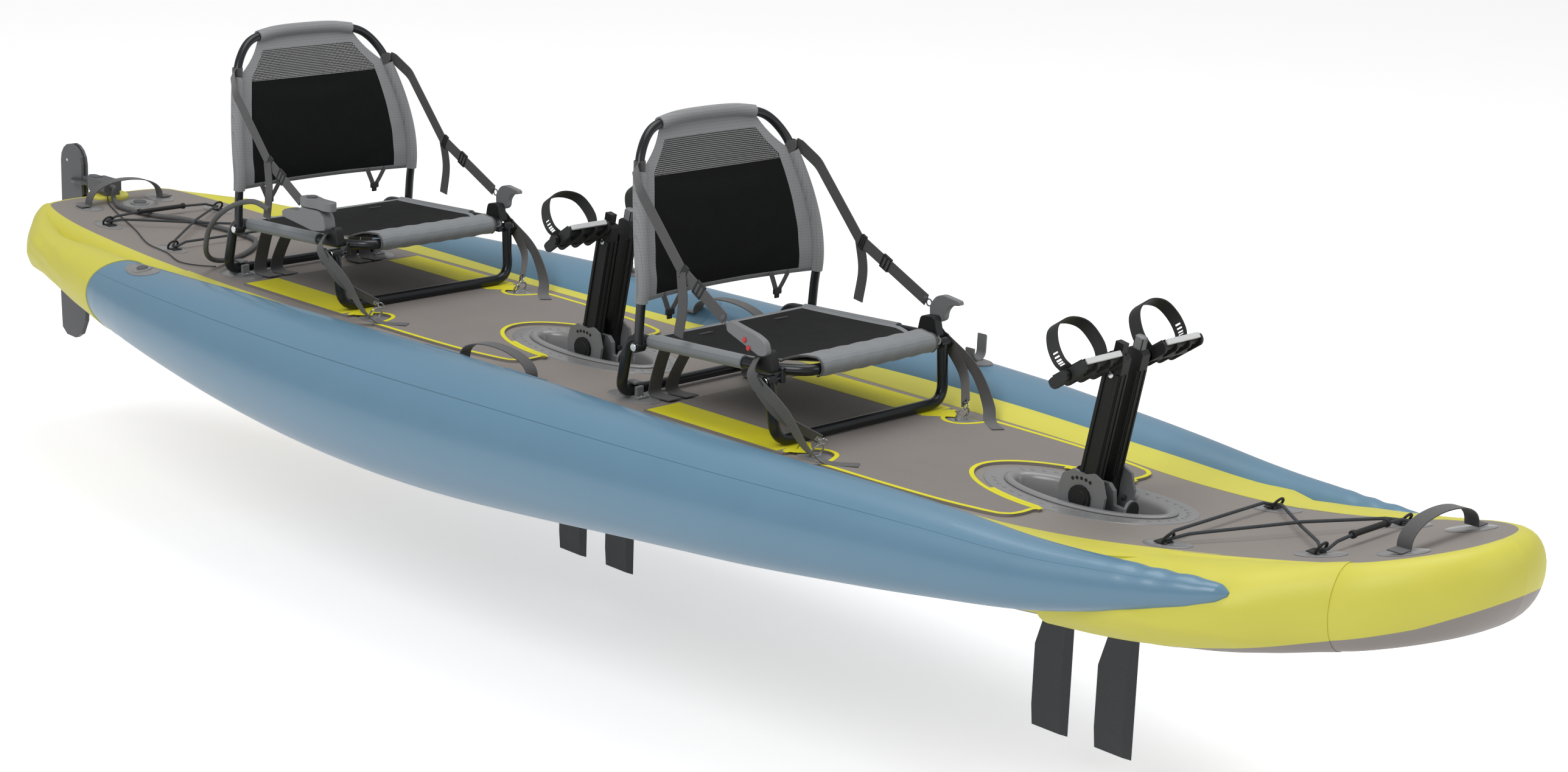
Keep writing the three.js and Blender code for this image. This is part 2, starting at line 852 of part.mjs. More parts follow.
function hullFittings() {
  const pieces = [];
  for (const { sign } of sides) {
    for (const [x, y] of [...Object.values(bowAnchors), ...Object.values(sternAnchors)]) {
      pieces.push(patch(x, sign * y, anchorPatch));
      pieces.push(deckLoop(x, sign * y, 0, anchorRadius, cordDiameter / 3));
    }
    for (const { x, y } of [bowHandle, sternHandle]) pieces.push(patch(x, sign * y, handlePatch));
    for (const { shift } of cockpits) {
      const seatX = frontSeatX + shift;
      pieces.push(patch(seatX, sign * saddleSpacing, saddlePatch));
      pieces.push(at(saddle(sign * saddleSpacing), seatX, 0, 0));
      pieces.push(patch(seatX + ringX, sign * ringSpacing, ringPatch));
      pieces.push(deckLoop(seatX + ringX, sign * ringSpacing, ringLean, ringRadius, ringWire));
    }
  }
  const { x, y, radius, height } = valvePlace;
  pieces.push(patch(x, y, [radius, radius], height));
  return pieces;
}

// Webbing carry handle, arched from foot to foot.
function archStrap(foot, apex, footLength, across) {
  const count = 8;
  const points = [];
  for (let i = 0; i <= count; i += 1) {
    const a = (i / count) * Math.PI;
    const share = (1 - Math.cos(a)) / 2;
    points.push(foot[0].clone().lerp(foot[1], share).addScaledVector(apex, Math.sin(a) ** 0.8));
  }
  const along = foot[1].clone().sub(foot[0]).setLength(footLength);
  points.unshift(foot[0].clone().sub(along));
  points.push(foot[1].clone().add(along));
  return strap(points, handleWidth, across);
}

function onTube(x, y, lift) {
  const centre = tubeAt(x);
  const height = Math.sqrt(centre.radius ** 2 - (y - centre.y) ** 2);
  return vec(x, y, centre.z + height + lift);
}

// The port side tube with its carry handle and its valve.
function sideTube() {
  const { x, y, half, lift } = tubeHandle;
  const sink = webbingThickness / 3;
  const feet = [onTube(x - half, y, -sink), onTube(x + half, y, -sink)];
  const handle = archStrap(feet, vec(0, 0, lift), handleWidth, vec(0, 1, 0));
  const place = tubeAt(tubeValve.x);
  const disc = oval(tubeValve.halfLength, tubeValve.radius, patchThickness * 4, 12);
  disc.rotateX(-tubeValve.angle);
  const reach = place.radius - patchThickness * 3;
  const valve = at(disc, tubeValve.x,
    place.y + reach * Math.sin(tubeValve.angle), place.z + reach * Math.cos(tubeValve.angle));
  return join(portTube, handle, valve);
}

// Paddle hook: an open cradle on a foot that lies on top of the port side tube.
function paddleHook(x) {
  const steps = 6;
  const outline = [];
  const outer = hookInner + hookWall;
  for (let i = 0; i <= steps; i += 1) {
    const a = Math.PI + (i / steps) * Math.PI;
    outline.push([outer * Math.cos(a), outer * Math.sin(a)]);
  }
  outline.push([outer, hookHorn], [hookInner + hookWall / 3, hookHorn + hookWall], [hookInner, hookHorn * 0.7]);
  for (let i = 0; i <= steps; i += 1) {
    const a = -(i / steps) * Math.PI;
    outline.push([hookInner * Math.cos(a), hookInner * Math.sin(a)]);
  }
  outline.push([-hookInner, hookHorn * 0.3], [-outer, hookHorn * 0.3]);
  const cradle = sidePlate(outline, hookWidth).rotateZ(Math.PI / 2);
  const foot = at(oval(...hookFoot, hookWall * 5, 12), 0, 0, -hookInner - hookWall * 5.6);
  const top = onTube(x, tubeSpacing, hookInner + hookWall * 1.4);
  return cut(at(join(cradle, foot), top.x, top.y, top.z), portTubeRoom);
}

function hull() {
  const tubes = [portTubeRoom, mirrored(portTubeRoom)];
  const shell = cut(board, ...tubes, ...wellRooms);
  add('hull_board', cut(join(shell, ...hullFittings()), ...tubes), 'grey');
  const port = {
    pontoon: [sideTube(), 'blue'],
    gunwale: [gunwale(), 'yellow'],
    bow_sleeve: [tubeSleeve(sleeves.bow), 'yellow'],
    stern_sleeve: [tubeSleeve(sleeves.stern), 'yellow'],
  };
  for (const [name, [geometry, colour]] of Object.entries(port)) {
    add(`${name}_port`, geometry, colour);
    add(`${name}_starboard`, mirrored(geometry), colour);
  }
  for (const [name, x] of Object.entries(hookPlaces)) add(`paddle_hook_${name}`, paddleHook(x), 'plastic');
  for (const [name, { x, y, lift }] of Object.entries({ bow: bowHandle, stern: sternHandle })) {
    const reach = handleWidth / 2;
    const level = deckZ(x + Math.sign(x) * reach) + patchThickness + 3 * clearance + webbingThickness / 2;
    const feet = [vec(x, -y, level), vec(x, y, level)];
    add(`${name}_handle`, archStrap(feet, vec(0, 0, lift), handleWidth, vec(1, 0, 0)), 'webbing');
  }
}

// Liner of a drive well: a moulded oval trough, open above and below, with a rim
// on the deck and a ledge at each end that carries the drive.
function wellLiner(x) {
  const bottom = clearance;
  const level = (z, inset) => ovalRing(
    wellHalfLength - clearance - inset - wellSlope * (deckHeight - z),
    wellHalfWidth - clearance - inset - wellSlope * (deckHeight - z), 0, z, wellSegments,
  );
  const rimTop = deckHeight + padLift + wellRimHeight;
  const profile = [
    level(bottom, 0), level(deckHeight + padLift, 0),
    level(deckHeight + padLift, -wellRimWidth), level(rimTop, wellRimHeight - wellRimWidth),
    level(rimTop, wellRimHeight), level(deckHeight, wellWall), level(bottom, wellWall),
  ];
  const shell = onDeck(loft(profile, true), x);
  const room = loft([level(bottom, wellWall / 2), level(deckHeight + padLift, wellWall / 2)]);
  const ledges = [-1, 1].map((end) => {
    const reach = wellHalfLength - wellSlope * (deckHeight - wellLedgeHeight);
    const ledge = block(wellLedgeLength * 2, wellHalfWidth * 2, wellWall * 2);
    const placed = at(ledge, end * reach, 0, wellLedgeHeight - wellWall);
    return at(fromSolid(solid(placed).intersect(solid(room))), x, 0, 0);
  });
  return join(shell, ...ledges);
}

function wells() {
  for (const { name, shift } of cockpits) {
    add(`drive_well_${name}`, wellLiner(frontWellX + shift), 'plastic');
  }
}

// Cushioned deck pads, one under each seat, notched round the tie-down rings and
// reaching round the drive well ahead of it.
function padOutline() {
  const arcHalf = wellHalfWidth + padWellMargin;
  const wellX = frontWellX - frontSeatX;
  const arcLength = wellX - padApex;
  const notch = padNotch;
  const side = [
    [padStart, padHalfWidth], [ringX - notch, padHalfWidth],
    [ringX - notch * 0.6, ringSpacing - notch * 0.62], [ringX + notch * 0.6, ringSpacing - notch * 0.62],
    [ringX + notch, padHalfWidth], [padApex, padHalfWidth * 0.985],
    [padReach - notch, padHalfWidth * 0.9], [padReach - notch / 6, padHalfWidth * 0.84],
    [padReach, arcHalf + notch / 5],
  ];
  const steps = 7;
  for (let i = 0; i < steps; i += 1) {
    const a = (i / steps) * Math.PI / 2;
    side.push([wellX - arcLength * Math.sin(a), arcHalf * Math.cos(a)]);
  }
  const far = side.map(([x, y]) => [x, -y]).reverse();
  return [...side, [padApex, 0], ...far];
}

function deckPads() {
  const shape = new THREE.Shape(padOutline().map(([x, y]) => new THREE.Vector2(x, y)));
  const pad = new THREE.ExtrudeGeometry(shape, { depth: padThickness, bevelEnabled: false });
  for (const { name, shift } of cockpits) {
    const placed = onDeck(at(pad, 0, 0, deckHeight + padLift), frontSeatX + shift);
    const room = [-1, 1].map((sign) => patch(
      frontSeatX + ringX + shift, sign * ringSpacing, ringPatch.map((half) => half + clearance),
      patchThickness + clearance,
    ));
    add(`deck_pad_${name}`, cut(placed, ...room), 'grey');
  }
}

// Height above the deck of what lies on it, and of a cord that runs clear over that.
const conduitRest = 4 * clearance + conduitRadius;
const lineRest = 5 * clearance + lineRadius;
const cordRun = conduitRest + conduitRadius + 2 * clearance + cordDiameter / 2;

function over(x, y, lift) {
  return vec(x, y, deckZ(x) + lift);
}

// A bungee: one cord through four deck loops, crossing over itself, its two ends held
// in a barrel between the outer pair of loops.
function bungee({ inner: [innerX, innerY], outer: [outerX, outerY] }) {
  const away = Math.sign(outerX - innerX);
  const low = anchorRadius * 0.8;
  const turn = (x, y, side) => {
    const inboard = -Math.sign(y) * anchorTurn;
    return [
      over(x - side * anchorTurn * 2.5, y + inboard * 2.5, cordRun),
      over(x, y, low),
      over(x + side * anchorTurn * 0.7, y - inboard * 0.1, low),
      over(x + side * anchorTurn, y + inboard * 0.5, low),
      over(x + side * anchorTurn, y + inboard * 3, cordRun),
    ];
  };
  const end = outerY * 0.36;
  const barrelX = outerX + away * anchorTurn;
  const barrelRise = cordRun + cordDiameter / 2;
  const crossX = outerX + (innerX - outerX) * outerY / (outerY + innerY);
  const points = [
    over(barrelX, -end, barrelRise),
    ...turn(outerX, -outerY, away).reverse(),
    over(crossX, 0, cordRun),
    ...turn(innerX, innerY, -away),
    ...turn(innerX, -innerY, -away).reverse(),
    over(crossX, 0, cordRun + cordDiameter * 1.3),
    ...turn(outerX, outerY, away),
    over(barrelX, end, barrelRise),
  ];
  const barrel = rod(cordDiameter, end * 2.2, 8);
  return join(tube(points, cordDiameter / 2, 5), at(barrel, barrelX, 0, deckZ(barrelX) + barrelRise));
}

// Seats

const footLevel = deckHeight + footHeight;
const legPivotZ = deckHeight + legPivotHeight;
const backPivotZ = deckHeight + backPivotHeight;

function seatZ(x) {
  return deckHeight + seatRearHeight + (seatFrontHeight - seatRearHeight) * (x / seatDepth);
}

// Grey fittings on the seat's front corners, as shares of their own size, fore and aft
// and up from the leg's pivot.
const postShares = [[-0.5, 0.14], [-0.42, 0.52], [-0.05, 0.56], [0.06, 0.14]];
const cleatShares = [
  [-0.34, 0.46], [-0.36, 0.72], [-0.2, 0.92], [-0.02, 0.98], [0.42, 0.92], [0.44, 0.84],
  [0.2, 0.8], [0.08, 0.66], [0.06, 0.48], [-0.08, 0.4],
];
const clipShares = [
  [-1.1, 0.76], [-1.12, 0.9], [-1.02, 0.98], [-0.3, 0.84], [-0.06, 0.74], [0, 0.5], [-0.2, 0.44],
];
const steerBaseShares = [
  [-1.72, 0.56], [-1.74, 0.68], [-1.6, 0.76], [-1.14, 0.78], [-1.02, 0.9], [-0.36, 0.9], [-0.2, 0.78],
  [-0.14, 0.5], [-0.6, 0.42], [-1.2, 0.5],
];

function fitting(table, thickness, y) {
  const outline = table.map(([x, z]) => [legPivotX + x * fittingSize, legPivotZ + z * fittingSize]);
  return at(sidePlate(outline, thickness), 0, y, 0);
}

// The main loop of a seat: rear legs, side tubes and front bar in one bent tube,
// closed below by a cross tube, with the hinge pins and the corner fittings.
function seatFrame(starboardTable, starboardThickness) {
  const low = seatHalfWidth + seatTube;
  const front = seatDepth - seatCornerCut;
  const half = [
    vec(0, saddleSpacing - crossTubeGap, footLevel), vec(0, low, footLevel),
    vec(rearLegRake, seatHalfWidth, seatZ(rearLegRake)), vec(front, seatHalfWidth, seatZ(front)),
    vec(seatDepth, seatHalfWidth - seatFrontInset, seatZ(seatDepth)),
  ];
  const bends = [seatBend, seatCornerBend, seatCornerBend, seatCornerBend];
  const loop = tube(rounded(bothHalves(half), [...bends, ...bends.slice().reverse()]), seatTube);
  const bar = rod(seatTube * 0.94, saddleSpacing * 2, 8);
  const pieces = [];
  for (const { sign } of sides) {
    const outer = legSpacing + hubHalfWidth;
    for (const [x, z] of [[legPivotX, legPivotZ], [backPivotX, backPivotZ]]) {
      const pin = rod(pinRadius, outer - seatHalfWidth + pinHead, 8);
      pieces.push(at(pin, x, sign * (outer + seatHalfWidth + pinHead) / 2, z));
      const head = rod(pinRadius * 2, pinHead, 8);
      pieces.push(at(head, x, sign * (outer + 2 * clearance + pinHead / 2), z));
    }
    const rise = seatZ(legPivotX) - legPivotZ;
    const lug = block(seatTube * 2, seatTube, rise + seatTube);
    pieces.push(at(lug, legPivotX, sign * seatHalfWidth, legPivotZ + rise / 2));
    const postY = legSpacing - fittingThickness / 2;
    pieces.push(fitting(postShares, fittingThickness * 1.5, sign * (postY - seatTube / 2)));
  }
  pieces.push(fitting(cleatShares, fittingThickness, legSpacing + fittingThickness * 0.2));
  pieces.push(fitting(starboardTable, starboardThickness, -legSpacing - fittingThickness * 0.2));
  return join(loop, at(bar, 0, 0, footLevel), ...pieces);
}

// A tube's ends on their hinge pins: a hub across each end, bored for the pin.
function hinged(body, x, z) {
  const hubs = [];
  const bores = [];
  for (const { sign } of sides) {
    hubs.push(at(rod(seatTube, hubHalfWidth * 2, 8), x, sign * legSpacing, z));
    bores.push(at(rod(boreFor(pinRadius, 8), hubHalfWidth * 4, 8), x, sign * legSpacing, z));
  }
  return cut(join(body, ...hubs), ...bores);
}

// The front leg: a U hung from the pins under the seat's front corners. It swings as low
// as the seat's other tubes rest.
function frontLeg() {
  const drop = Math.sqrt((legPivotHeight - footHeight) ** 2 - legLean ** 2);
  const half = [
    vec(legPivotX, legSpacing, legPivotZ),
    vec(legPivotX + legLean, legSpacing - legFootInset, legPivotZ - drop),
  ];
  const path = rounded(bothHalves(half), [seatCornerBend, seatCornerBend]);
  return hinged(tube(path, seatTube), legPivotX, legPivotZ);
}

// Half of the back frame, from the pivot to the middle of its top: how far it leans,
// its half width and its height, as shares of the back's own sizes.
const backShares = [
  [0, 1, 0], [0.04, 1.005, 0.14], [0.1, 1.01, 0.28], [0.02, 1.005, 0.42], [-0.16, 0.965, 0.58],
  [-0.4, 0.895, 0.74], [-0.6, 0.82, 0.86], [-0.78, 0.66, 0.955], [-0.88, 0.42, 0.99], [-0.92, 0, 1],
];
const backClimb = backTopHeight - backPivotHeight;

function backPoint([lean, width, height]) {
  return vec(backPivotX + lean * backRake, width * legSpacing, backPivotZ + height * backClimb);
}

const backRoute = smooth(bothHalves(backShares.map(backPoint)), backSteps);

function backFrame() {
  return hinged(tube(backRoute, backTube, backSides), backPivotX, backPivotZ);
}

// The route's point at a height on the port post, or at a distance across the top.
function onPost(height) {
  const z = backPivotZ + height * backClimb;
  const i = backRoute.findIndex((p) => p.z > z);
  const [a, b] = [backRoute[i - 1], backRoute[i]];
  return a.clone().lerp(b, (z - a.z) / (b.z - a.z));
}

function onTop(y) {
  const i = backRoute.findIndex((p, k) => k > backSteps / 4 && p.y < y);
  const [a, b] = [backRoute[i - 1], backRoute[i]];
  return a.clone().lerp(b, (y - a.y) / (b.y - a.y));
}

// Cloth of the back: sleeves round the posts and round the top bar, and the panel
// between them, with the top corners left open round the bare tube.
function backFabric() {
  const height = (p) => (p.z - backPivotZ) / backClimb;
  const within = (p) => p.y > topSleeveHalf && height(p) > sleeveLowShare && height(p) < sleeveHighShare;
  const port = backRoute.slice(0, backSteps / 2).filter(within);
  const post = [onPost(sleeveLowShare), ...port, onPost(sleeveHighShare)];
  const top = [
    onTop(topSleeveHalf), ...backRoute.filter((p) => Math.abs(p.y) < topSleeveHalf), onTop(-topSleeveHalf),
  ];
  const edge = boreFor(backTube, backSides) + fabricThickness * 0.25;
  const columns = 4;
  const stations = 5;
  const rows = [];
  for (let i = 0; i <= stations; i += 1) {
    const share = i / stations;
    const side = onPost(sleeveLowShare + (sleeveHighShare - sleeveLowShare) * share);
    const row = [];
    for (let j = 0; j <= columns; j += 1) {
      const across = 1 - 2 * (j / columns);
      const pull = backSag * (1 - across ** 2) * Math.cos(share * Math.PI / 2);
      row.push(vec(side.x - pull + fabricThickness / 2, (side.y - edge) * across, side.z));
    }
    rows.push(row);
  }
  const last = [];
  for (let j = 0; j <= columns; j += 1) {
    const bar = onTop(topSleeveHalf * (1 - 2 * (j / columns)));
    last.push(vec(bar.x + fabricThickness / 2, bar.y, bar.z - edge));
  }
  const high = rows[rows.length - 1];
  rows.push(high.map((p, j) => p.clone().lerp(last[j], 0.5)), last);
  const mirror = post.map((p) => vec(p.x, -p.y, p.z));
  const sleeves = [post, mirror, top].map((path) => sleeveOver(path, backTube, backSides));
  return join(sheet(rows, vec(-1, 0, 0)), ...sleeves);
}

// Sling of the seat: cloth between the side tubes, rolled round the front bar, with
// open corners, and two wide straps behind that hold it down to the cross tube.
function seatSling() {
  const edge = seatTube - fabricThickness / 2;
  const columns = 4;
  const stations = 5;
  const rows = [];
  for (let i = 0; i <= stations; i += 1) {
    const share = i / stations;
    const x = slingStart + (seatDepth - edge - slingStart) * share;
    const corner = Math.max(0, x - slingSideEnd) / (seatDepth - edge - slingSideEnd);
    const half = (seatHalfWidth - edge) * (1 - corner) + slingFrontHalf * corner;
    const row = [];
    for (let j = 0; j <= columns; j += 1) {
      const across = 1 - 2 * (j / columns);
      const drop = seatSag * (1 - across ** 2) * Math.sin(share * Math.PI);
      row.push(vec(x, half * across, seatZ(x) + edge - drop));
    }
    rows.push(row);
  }
  const side = (sign) => sleeveOver(
    [slingStart, slingSideEnd].map((x) => vec(x, sign * seatHalfWidth, seatZ(x))), seatTube,
  );
  const roll = sleeveOver(
    [-1, 1].map((sign) => vec(seatDepth, sign * slingFrontHalf, seatZ(seatDepth))), seatTube,
  );
  const straps = sides.map(({ sign }) => strap([
    vec(slingStart + edge, sign * holdDownY, seatZ(slingStart) + edge - fabricThickness / 2),
    vec(slingStart - edge, sign * holdDownY, seatZ(slingStart)),
    vec(seatTube * 1.9, sign * holdDownY, deckHeight + footHeight * 1.4),
    vec(seatTube * 2, sign * holdDownY, deckHeight + fabricThickness * 2.2),
    vec(padStart - edge, sign * holdDownY, deckHeight + fabricThickness * 1.8),
  ], holdDownWidth, vec(0, 1, 0), fabricThickness));
  return join(sheet(rows, vec(0, 0, -1)), side(1), side(-1), roll, ...straps);
}

// Routes of the straps on the port side of a seat, as shares of the seat's depth, of
// the spacing of its legs and of a height: that of the back for the recline straps,
// that of the leg's pivot for the tie-down straps.
const reclineShares = [[0.063, 0.94, 0.8505], [0.14, 1.02, 0.79], [0.4, 1.02, 0.544]];
const reclineTailShares = [[0.4, 1.025, 0.54], [0.42, 1.037, 0.43], [0.4, 1.037, 0.31]];
const tieShares = [[0.835, 1.007, 1.267], [0.85, 1.09, 1.098], [0.93, 1.1, 0.828], [1.01, 1.06, 0.58]];
const tieTailShares = [[0.87, 1.1, 1.035], [1.05, 1.1, 0.663], [1.16, 1.05, 0.207], [1.21, 0.96, 0.054]];
const tailEndShare = [1.32, 0.81];

function strapRoute(table, height) {
  return table.map(([x, y, z]) => vec(x * seatDepth, y * legSpacing, deckHeight + z * height));
}

// Recline strap: from the back's post down to the fitting on the seat's front corner,
// with its buckle, its end hook and the loose tail below the buckle.
function reclineStrap([endX, endHeight]) {
  const end = vec(legPivotX + endX * fittingSize, legSpacing, legPivotZ + endHeight * fittingSize);
  const route = [...strapRoute(reclineShares, backTopHeight), end];
  const lap = route[route.length - 2];
  const lean = end.clone().sub(lap);
  const across = vec(-lean.z, 0, lean.x).normalize();
  const box = block(strapWidth * 1.1, buckleThickness, strapWidth).rotateY(Math.atan2(-lean.z, lean.x));
  const hook = block(strapWidth, buckleThickness, strapWidth * 0.7).rotateY(Math.atan2(-lean.z, lean.x));
  const middle = lap.clone().lerp(end, 0.4);
  return join(
    strap(route, strapWidth, across),
    strap(strapRoute(reclineTailShares, backTopHeight), strapWidth, vec(1, 0, 0)),
    at(box, middle.x, middle.y, middle.z), at(hook, end.x, end.y, end.z),
  );
}

// Tie-down strap: from the fitting down to the ring on the deck, with its loose tail.
function tieStrap() {
  const hookSize = strapWidth * 0.8;
  const ringTop = ringRadius * 0.8 + (ringRadius + ringWire) * Math.cos(ringLean);
  const low = vec(
    ringX + ringRadius * Math.sin(ringLean), ringSpacing, deckHeight + ringTop + clearance + hookSize / 2,
  );
  const route = [...strapRoute(tieShares, legPivotHeight), low];
  const top = route[1];
  const lying = deckHeight + padLift + padThickness + clearance + webbingThickness / 2;
  const tail = [
    ...strapRoute(tieTailShares, legPivotHeight),
    vec(tailEndShare[0] * seatDepth, tailEndShare[1] * legSpacing, lying),
  ];
  const box = block(strapWidth * 0.9, buckleThickness, strapWidth * 1.2);
  const hook = block(hookSize, buckleThickness, hookSize);
  const tailTurn = [vec(0.8, 0, 0.6), vec(0.8, 0, 0.6), vec(0.7, 0.3, 0.3), vec(0.5, 0.8, 0), vec(0.5, 0.8, 0)];
  return join(
    strap(route, strapWidth, vec(0.75, 0, 0.6)), strap(tail, strapWidth, tailTurn),
    at(box, top.x + buckleThickness, top.y, top.z - strapWidth / 2), at(hook, low.x, low.y, low.z),
  );
}

// Steering lever on the rear seat: a flat lobed handle that turns on its base.
const leverShares = [
  [-0.3, -0.1], [-0.22, -0.17], [0, -0.2], [0.3, -0.13], [0.66, -0.17], [0.78, -0.1], [0.8, 0.04],
  [0.7, 0.14], [0.3, 0.12], [0, 0.2], [-0.22, 0.17], [-0.3, 0.08],
];

function steerPivot() {
  return vec(legPivotX + steerPivotShare[0] * fittingSize, -legSpacing - fittingThickness * 0.2,
    legPivotZ + steerPivotShare[1] * fittingSize);
}

function upright(radius, height, count = 10) {
  return rod(radius, height, count).rotateX(Math.PI / 2);
}

function steeringPin() {
  const { x, y, z } = steerPivot();
  const height = leverThickness + 3 * clearance + pinHead;
  return at(join(
    at(upright(pinRadius, height * 1.5), 0, 0, height * 0.25),
    at(upright(pinRadius * 2, pinHead), 0, 0, height - pinHead / 2),
  ), x, y, z);
}

function steeringHandle() {
  const { x, y, z } = steerPivot();
  const shape = new THREE.Shape(leverShares.map(([a, b]) => new THREE.Vector2(a * fittingSize, b * fittingSize)));
  const lever = new THREE.ExtrudeGeometry(shape, { depth: leverThickness, bevelEnabled: false });
  const bore = at(upright(boreFor(pinRadius, 10), leverThickness * 3), 0, 0, leverThickness / 2);
  return at(cut(lever, bore), x, y, z + clearance * 1.5);
}

function seats() {
  const pieces = {
    front_leg: [frontLeg(), 'tube'],
    back_frame: [backFrame(), 'tube'],
    back_fabric: [backFabric(), 'fabric'],
    seat_sling: [seatSling(), 'fabric'],
  };
  const frames = {
    front: seatFrame(clipShares, fittingThickness),
    rear: join(seatFrame(steerBaseShares, steerBaseThickness), steeringPin()),
  };
  const toCleat = [-0.475, 0.78];
  const toClip = [-1.255, 0.95];
  const recline = { port: reclineStrap(toCleat), starboard: mirrored(reclineStrap(toClip)) };
  const tie = { port: tieStrap(), starboard: mirrored(tieStrap()) };
  for (const { name, shift } of cockpits) {
    const x = frontSeatX + shift;
    add(`seat_frame_${name}`, at(frames[name], x, 0, 0), 'tube');
    for (const [piece, [geometry, colour]] of Object.entries(pieces)) {
      add(`${piece}_${name}`, at(geometry, x, 0, 0), colour);
    }
    for (const { name: side } of sides) {
      add(`recline_strap_${side}_${name}`, at(recline[side], x, 0, 0), 'webbing');
      add(`tie_strap_${side}_${name}`, at(tie[side], x, 0, 0), 'webbing');
    }
  }
  add('steering_handle', at(steeringHandle(), frontSeatX - cockpitPitch, 0, 0), 'plastic');
}

// Pedal drives, built round the middle of the well at the height of the deck

// Outlines of the drive's plates, fore and aft and up from its shaft, as shares of
// the size of its cheeks.
const coreShares = [
  [-0.42, 0.14], [-0.3, 0.26], [0.3, 0.26], [0.42, 0.14], [0.44, -0.12], [0.92, -0.18], [0.92, -0.3],
  [0.44, -0.34], [0.42, -1.15], [0.8, -1.48], [0.8, -1.62], [0.04, -1.62], [0, -1.3], [-0.3, -1.05],
  [-0.42, -0.9],
];
const cheekShares = [
  [-0.5, -0.2], [-0.52, 0.12], [-0.44, 0.36], [-0.2, 0.5], [0.06, 0.44], [0.26, 0.5], [0.46, 0.4],
  [0.55, 0.1], [0.5, -0.2], [0.3, -0.42], [-0.3, -0.42],
];
const sectorShares = [[0.1, 1], [0.34, 1], [0.5, 1], [0.66, 1], [0.9, 1]];

function plateOf(table, thickness, y) {
  const outline = table.map(([x, z]) => [x * cheekSize, drivePivotHeight + z * cheekSize]);
  return at(sidePlate(outline, thickness), 0, y, 0);
}

function lengthwise(radius, length, count = 8) {
  return rod(radius, length, count).rotateZ(Math.PI / 2);
}

const finHubX = { front: frontMast - mastRadius, rear: rearMast - mastRadius };

function driveSpine() {
  const reach = finHubHalf + 2 * clearance;
  const [bossStart, bossEnd] = [finHubX.rear + reach, finHubX.front - reach];
  const [stopStart, stopEnd] = [finHubX.rear - reach - stopLength, finHubX.front + reach + stopLength];
  const rods = [
    [bossRadius, bossStart, bossEnd], [finShaft, stopStart, stopEnd],
    [stopRadius, stopStart, stopStart + stopLength], [stopRadius, stopEnd - stopLength, stopEnd],
  ];
  const rail = block(footBarHalf * 2, footBarHalfWidth * 2, footBarThickness);
  const railHeight = wellLedgeHeight - boardThickness + clearance + footBarThickness / 2;
  const cheekY = sidePlateInner + sidePlateThickness / 2;
  const bridge = block(hubRadius * 2.6, 2 * (cheekY + sidePlateThickness / 4), bridgeThickness);
  const knob = lengthwise(knobRadius, sidePlateThickness, 10);
  const pieces = [
    ...rods.map(([radius, a, b]) => at(lengthwise(radius, b - a), (a + b) / 2, 0, finAxisHeight)),
    at(rail, -driveOffset, 0, railHeight), at(bridge, 0, 0, drivePivotHeight - bridgeDrop),
    ...sides.map(({ sign }) => plateOf(cheekShares, sidePlateThickness, sign * cheekY)),
    at(knob, knobReach, -knobRadius * 0.8, drivePivotHeight - knobRadius * 0.4),
  ];
  const bore = rod(boreFor(driveShaft, 8), 4 * sidePlateInner, 8);
  return cut(join(plateOf(coreShares, corePlate, 0), ...pieces), at(bore, 0, 0, drivePivotHeight));
}

function shaftWithCaps() {
  const capY = sidePlateInner + sidePlateThickness + clearance + capThickness / 2;
  const caps = sides.map(({ sign }) => at(rod(driveCap, capThickness, 14), 0, sign * capY, 0));
  return at(join(rod(driveShaft, capY * 2, 8), ...caps), 0, 0, drivePivotHeight);
}

// Turns a body built about the drive's shaft to the lean of the arms.
function leaned(geometry) {
  return at(geometry.clone().rotateY(armLean), 0, 0, drivePivotHeight);
}

// Port pedal arm: hub, toothed sector, arm, top tab and the shaft of its pedal.
function pedalArm() {
  const half = armChord / 2;
  const outline = [];
  const steps = 8;
  for (let i = 0; i <= steps; i += 1) {
    const a = Math.PI * (1 + i / steps);
    outline.push([hubRadius * Math.cos(a), hubRadius * Math.sin(a)]);
  }
  outline.push([half, hubRadius], [half, armLength + half * 0.7], [half * 0.7, armLength + half]);
  outline.push([-half * 0.7, armLength + half], [-half, armLength + half * 0.7], [-half, hubRadius]);
  const y = armInner + armThickness / 2;
  const arm = at(sidePlate(outline, armThickness), 0, y, 0);
  const fan = [[0, 0]];
  for (const [turn, reach] of sectorShares) {
    const a = Math.PI * (0.5 + turn / 2);
    fan.push([reach * sectorRadius * Math.cos(a), reach * sectorRadius * Math.sin(a)]);
  }
  const sector = at(sidePlate(fan, sectorThickness + clearance * 3), 0, armInner - sectorThickness / 2, 0);
  const outer = pedalInset + pedalWidth + clearance * 2;
  const endKnob = pedalShaft * 1.4;
  const shaftLength = outer + endKnob - armInner - armThickness / 2;
  const shaft = at(rod(pedalShaft, shaftLength, 8), 0, outer + endKnob - shaftLength / 2, armLength);
  const knob = at(rod(endKnob, endKnob, 8), 0, outer + endKnob / 2, armLength);
  const tab = at(block(half, armThickness * 0.7, armChord * 1.1), 0, y, armLength + half);
  const bore = rod(boreFor(driveShaft, 8), armThickness * 6, 8);
  return leaned(cut(join(arm, sector, shaft, knob, tab), bore));
}

// Port pedal: a ribbed tread on its shaft, with a rubber strap arched over the toes.
const pedalShares = [
  [-0.5, -0.2], [-0.42, -0.5], [0.42, -0.5], [0.5, -0.2], [0.5, 0.42], [0.38, 0.5], [-0.38, 0.5],
  [-0.5, 0.42],
];
const toeShares = [
  [0.44, 0.11], [0.53, 0.28], [0.52, 0.6], [0.36, 0.9], [0, 1], [-0.36, 0.84], [-0.5, 0.42],
  [-0.44, 0.11],
];

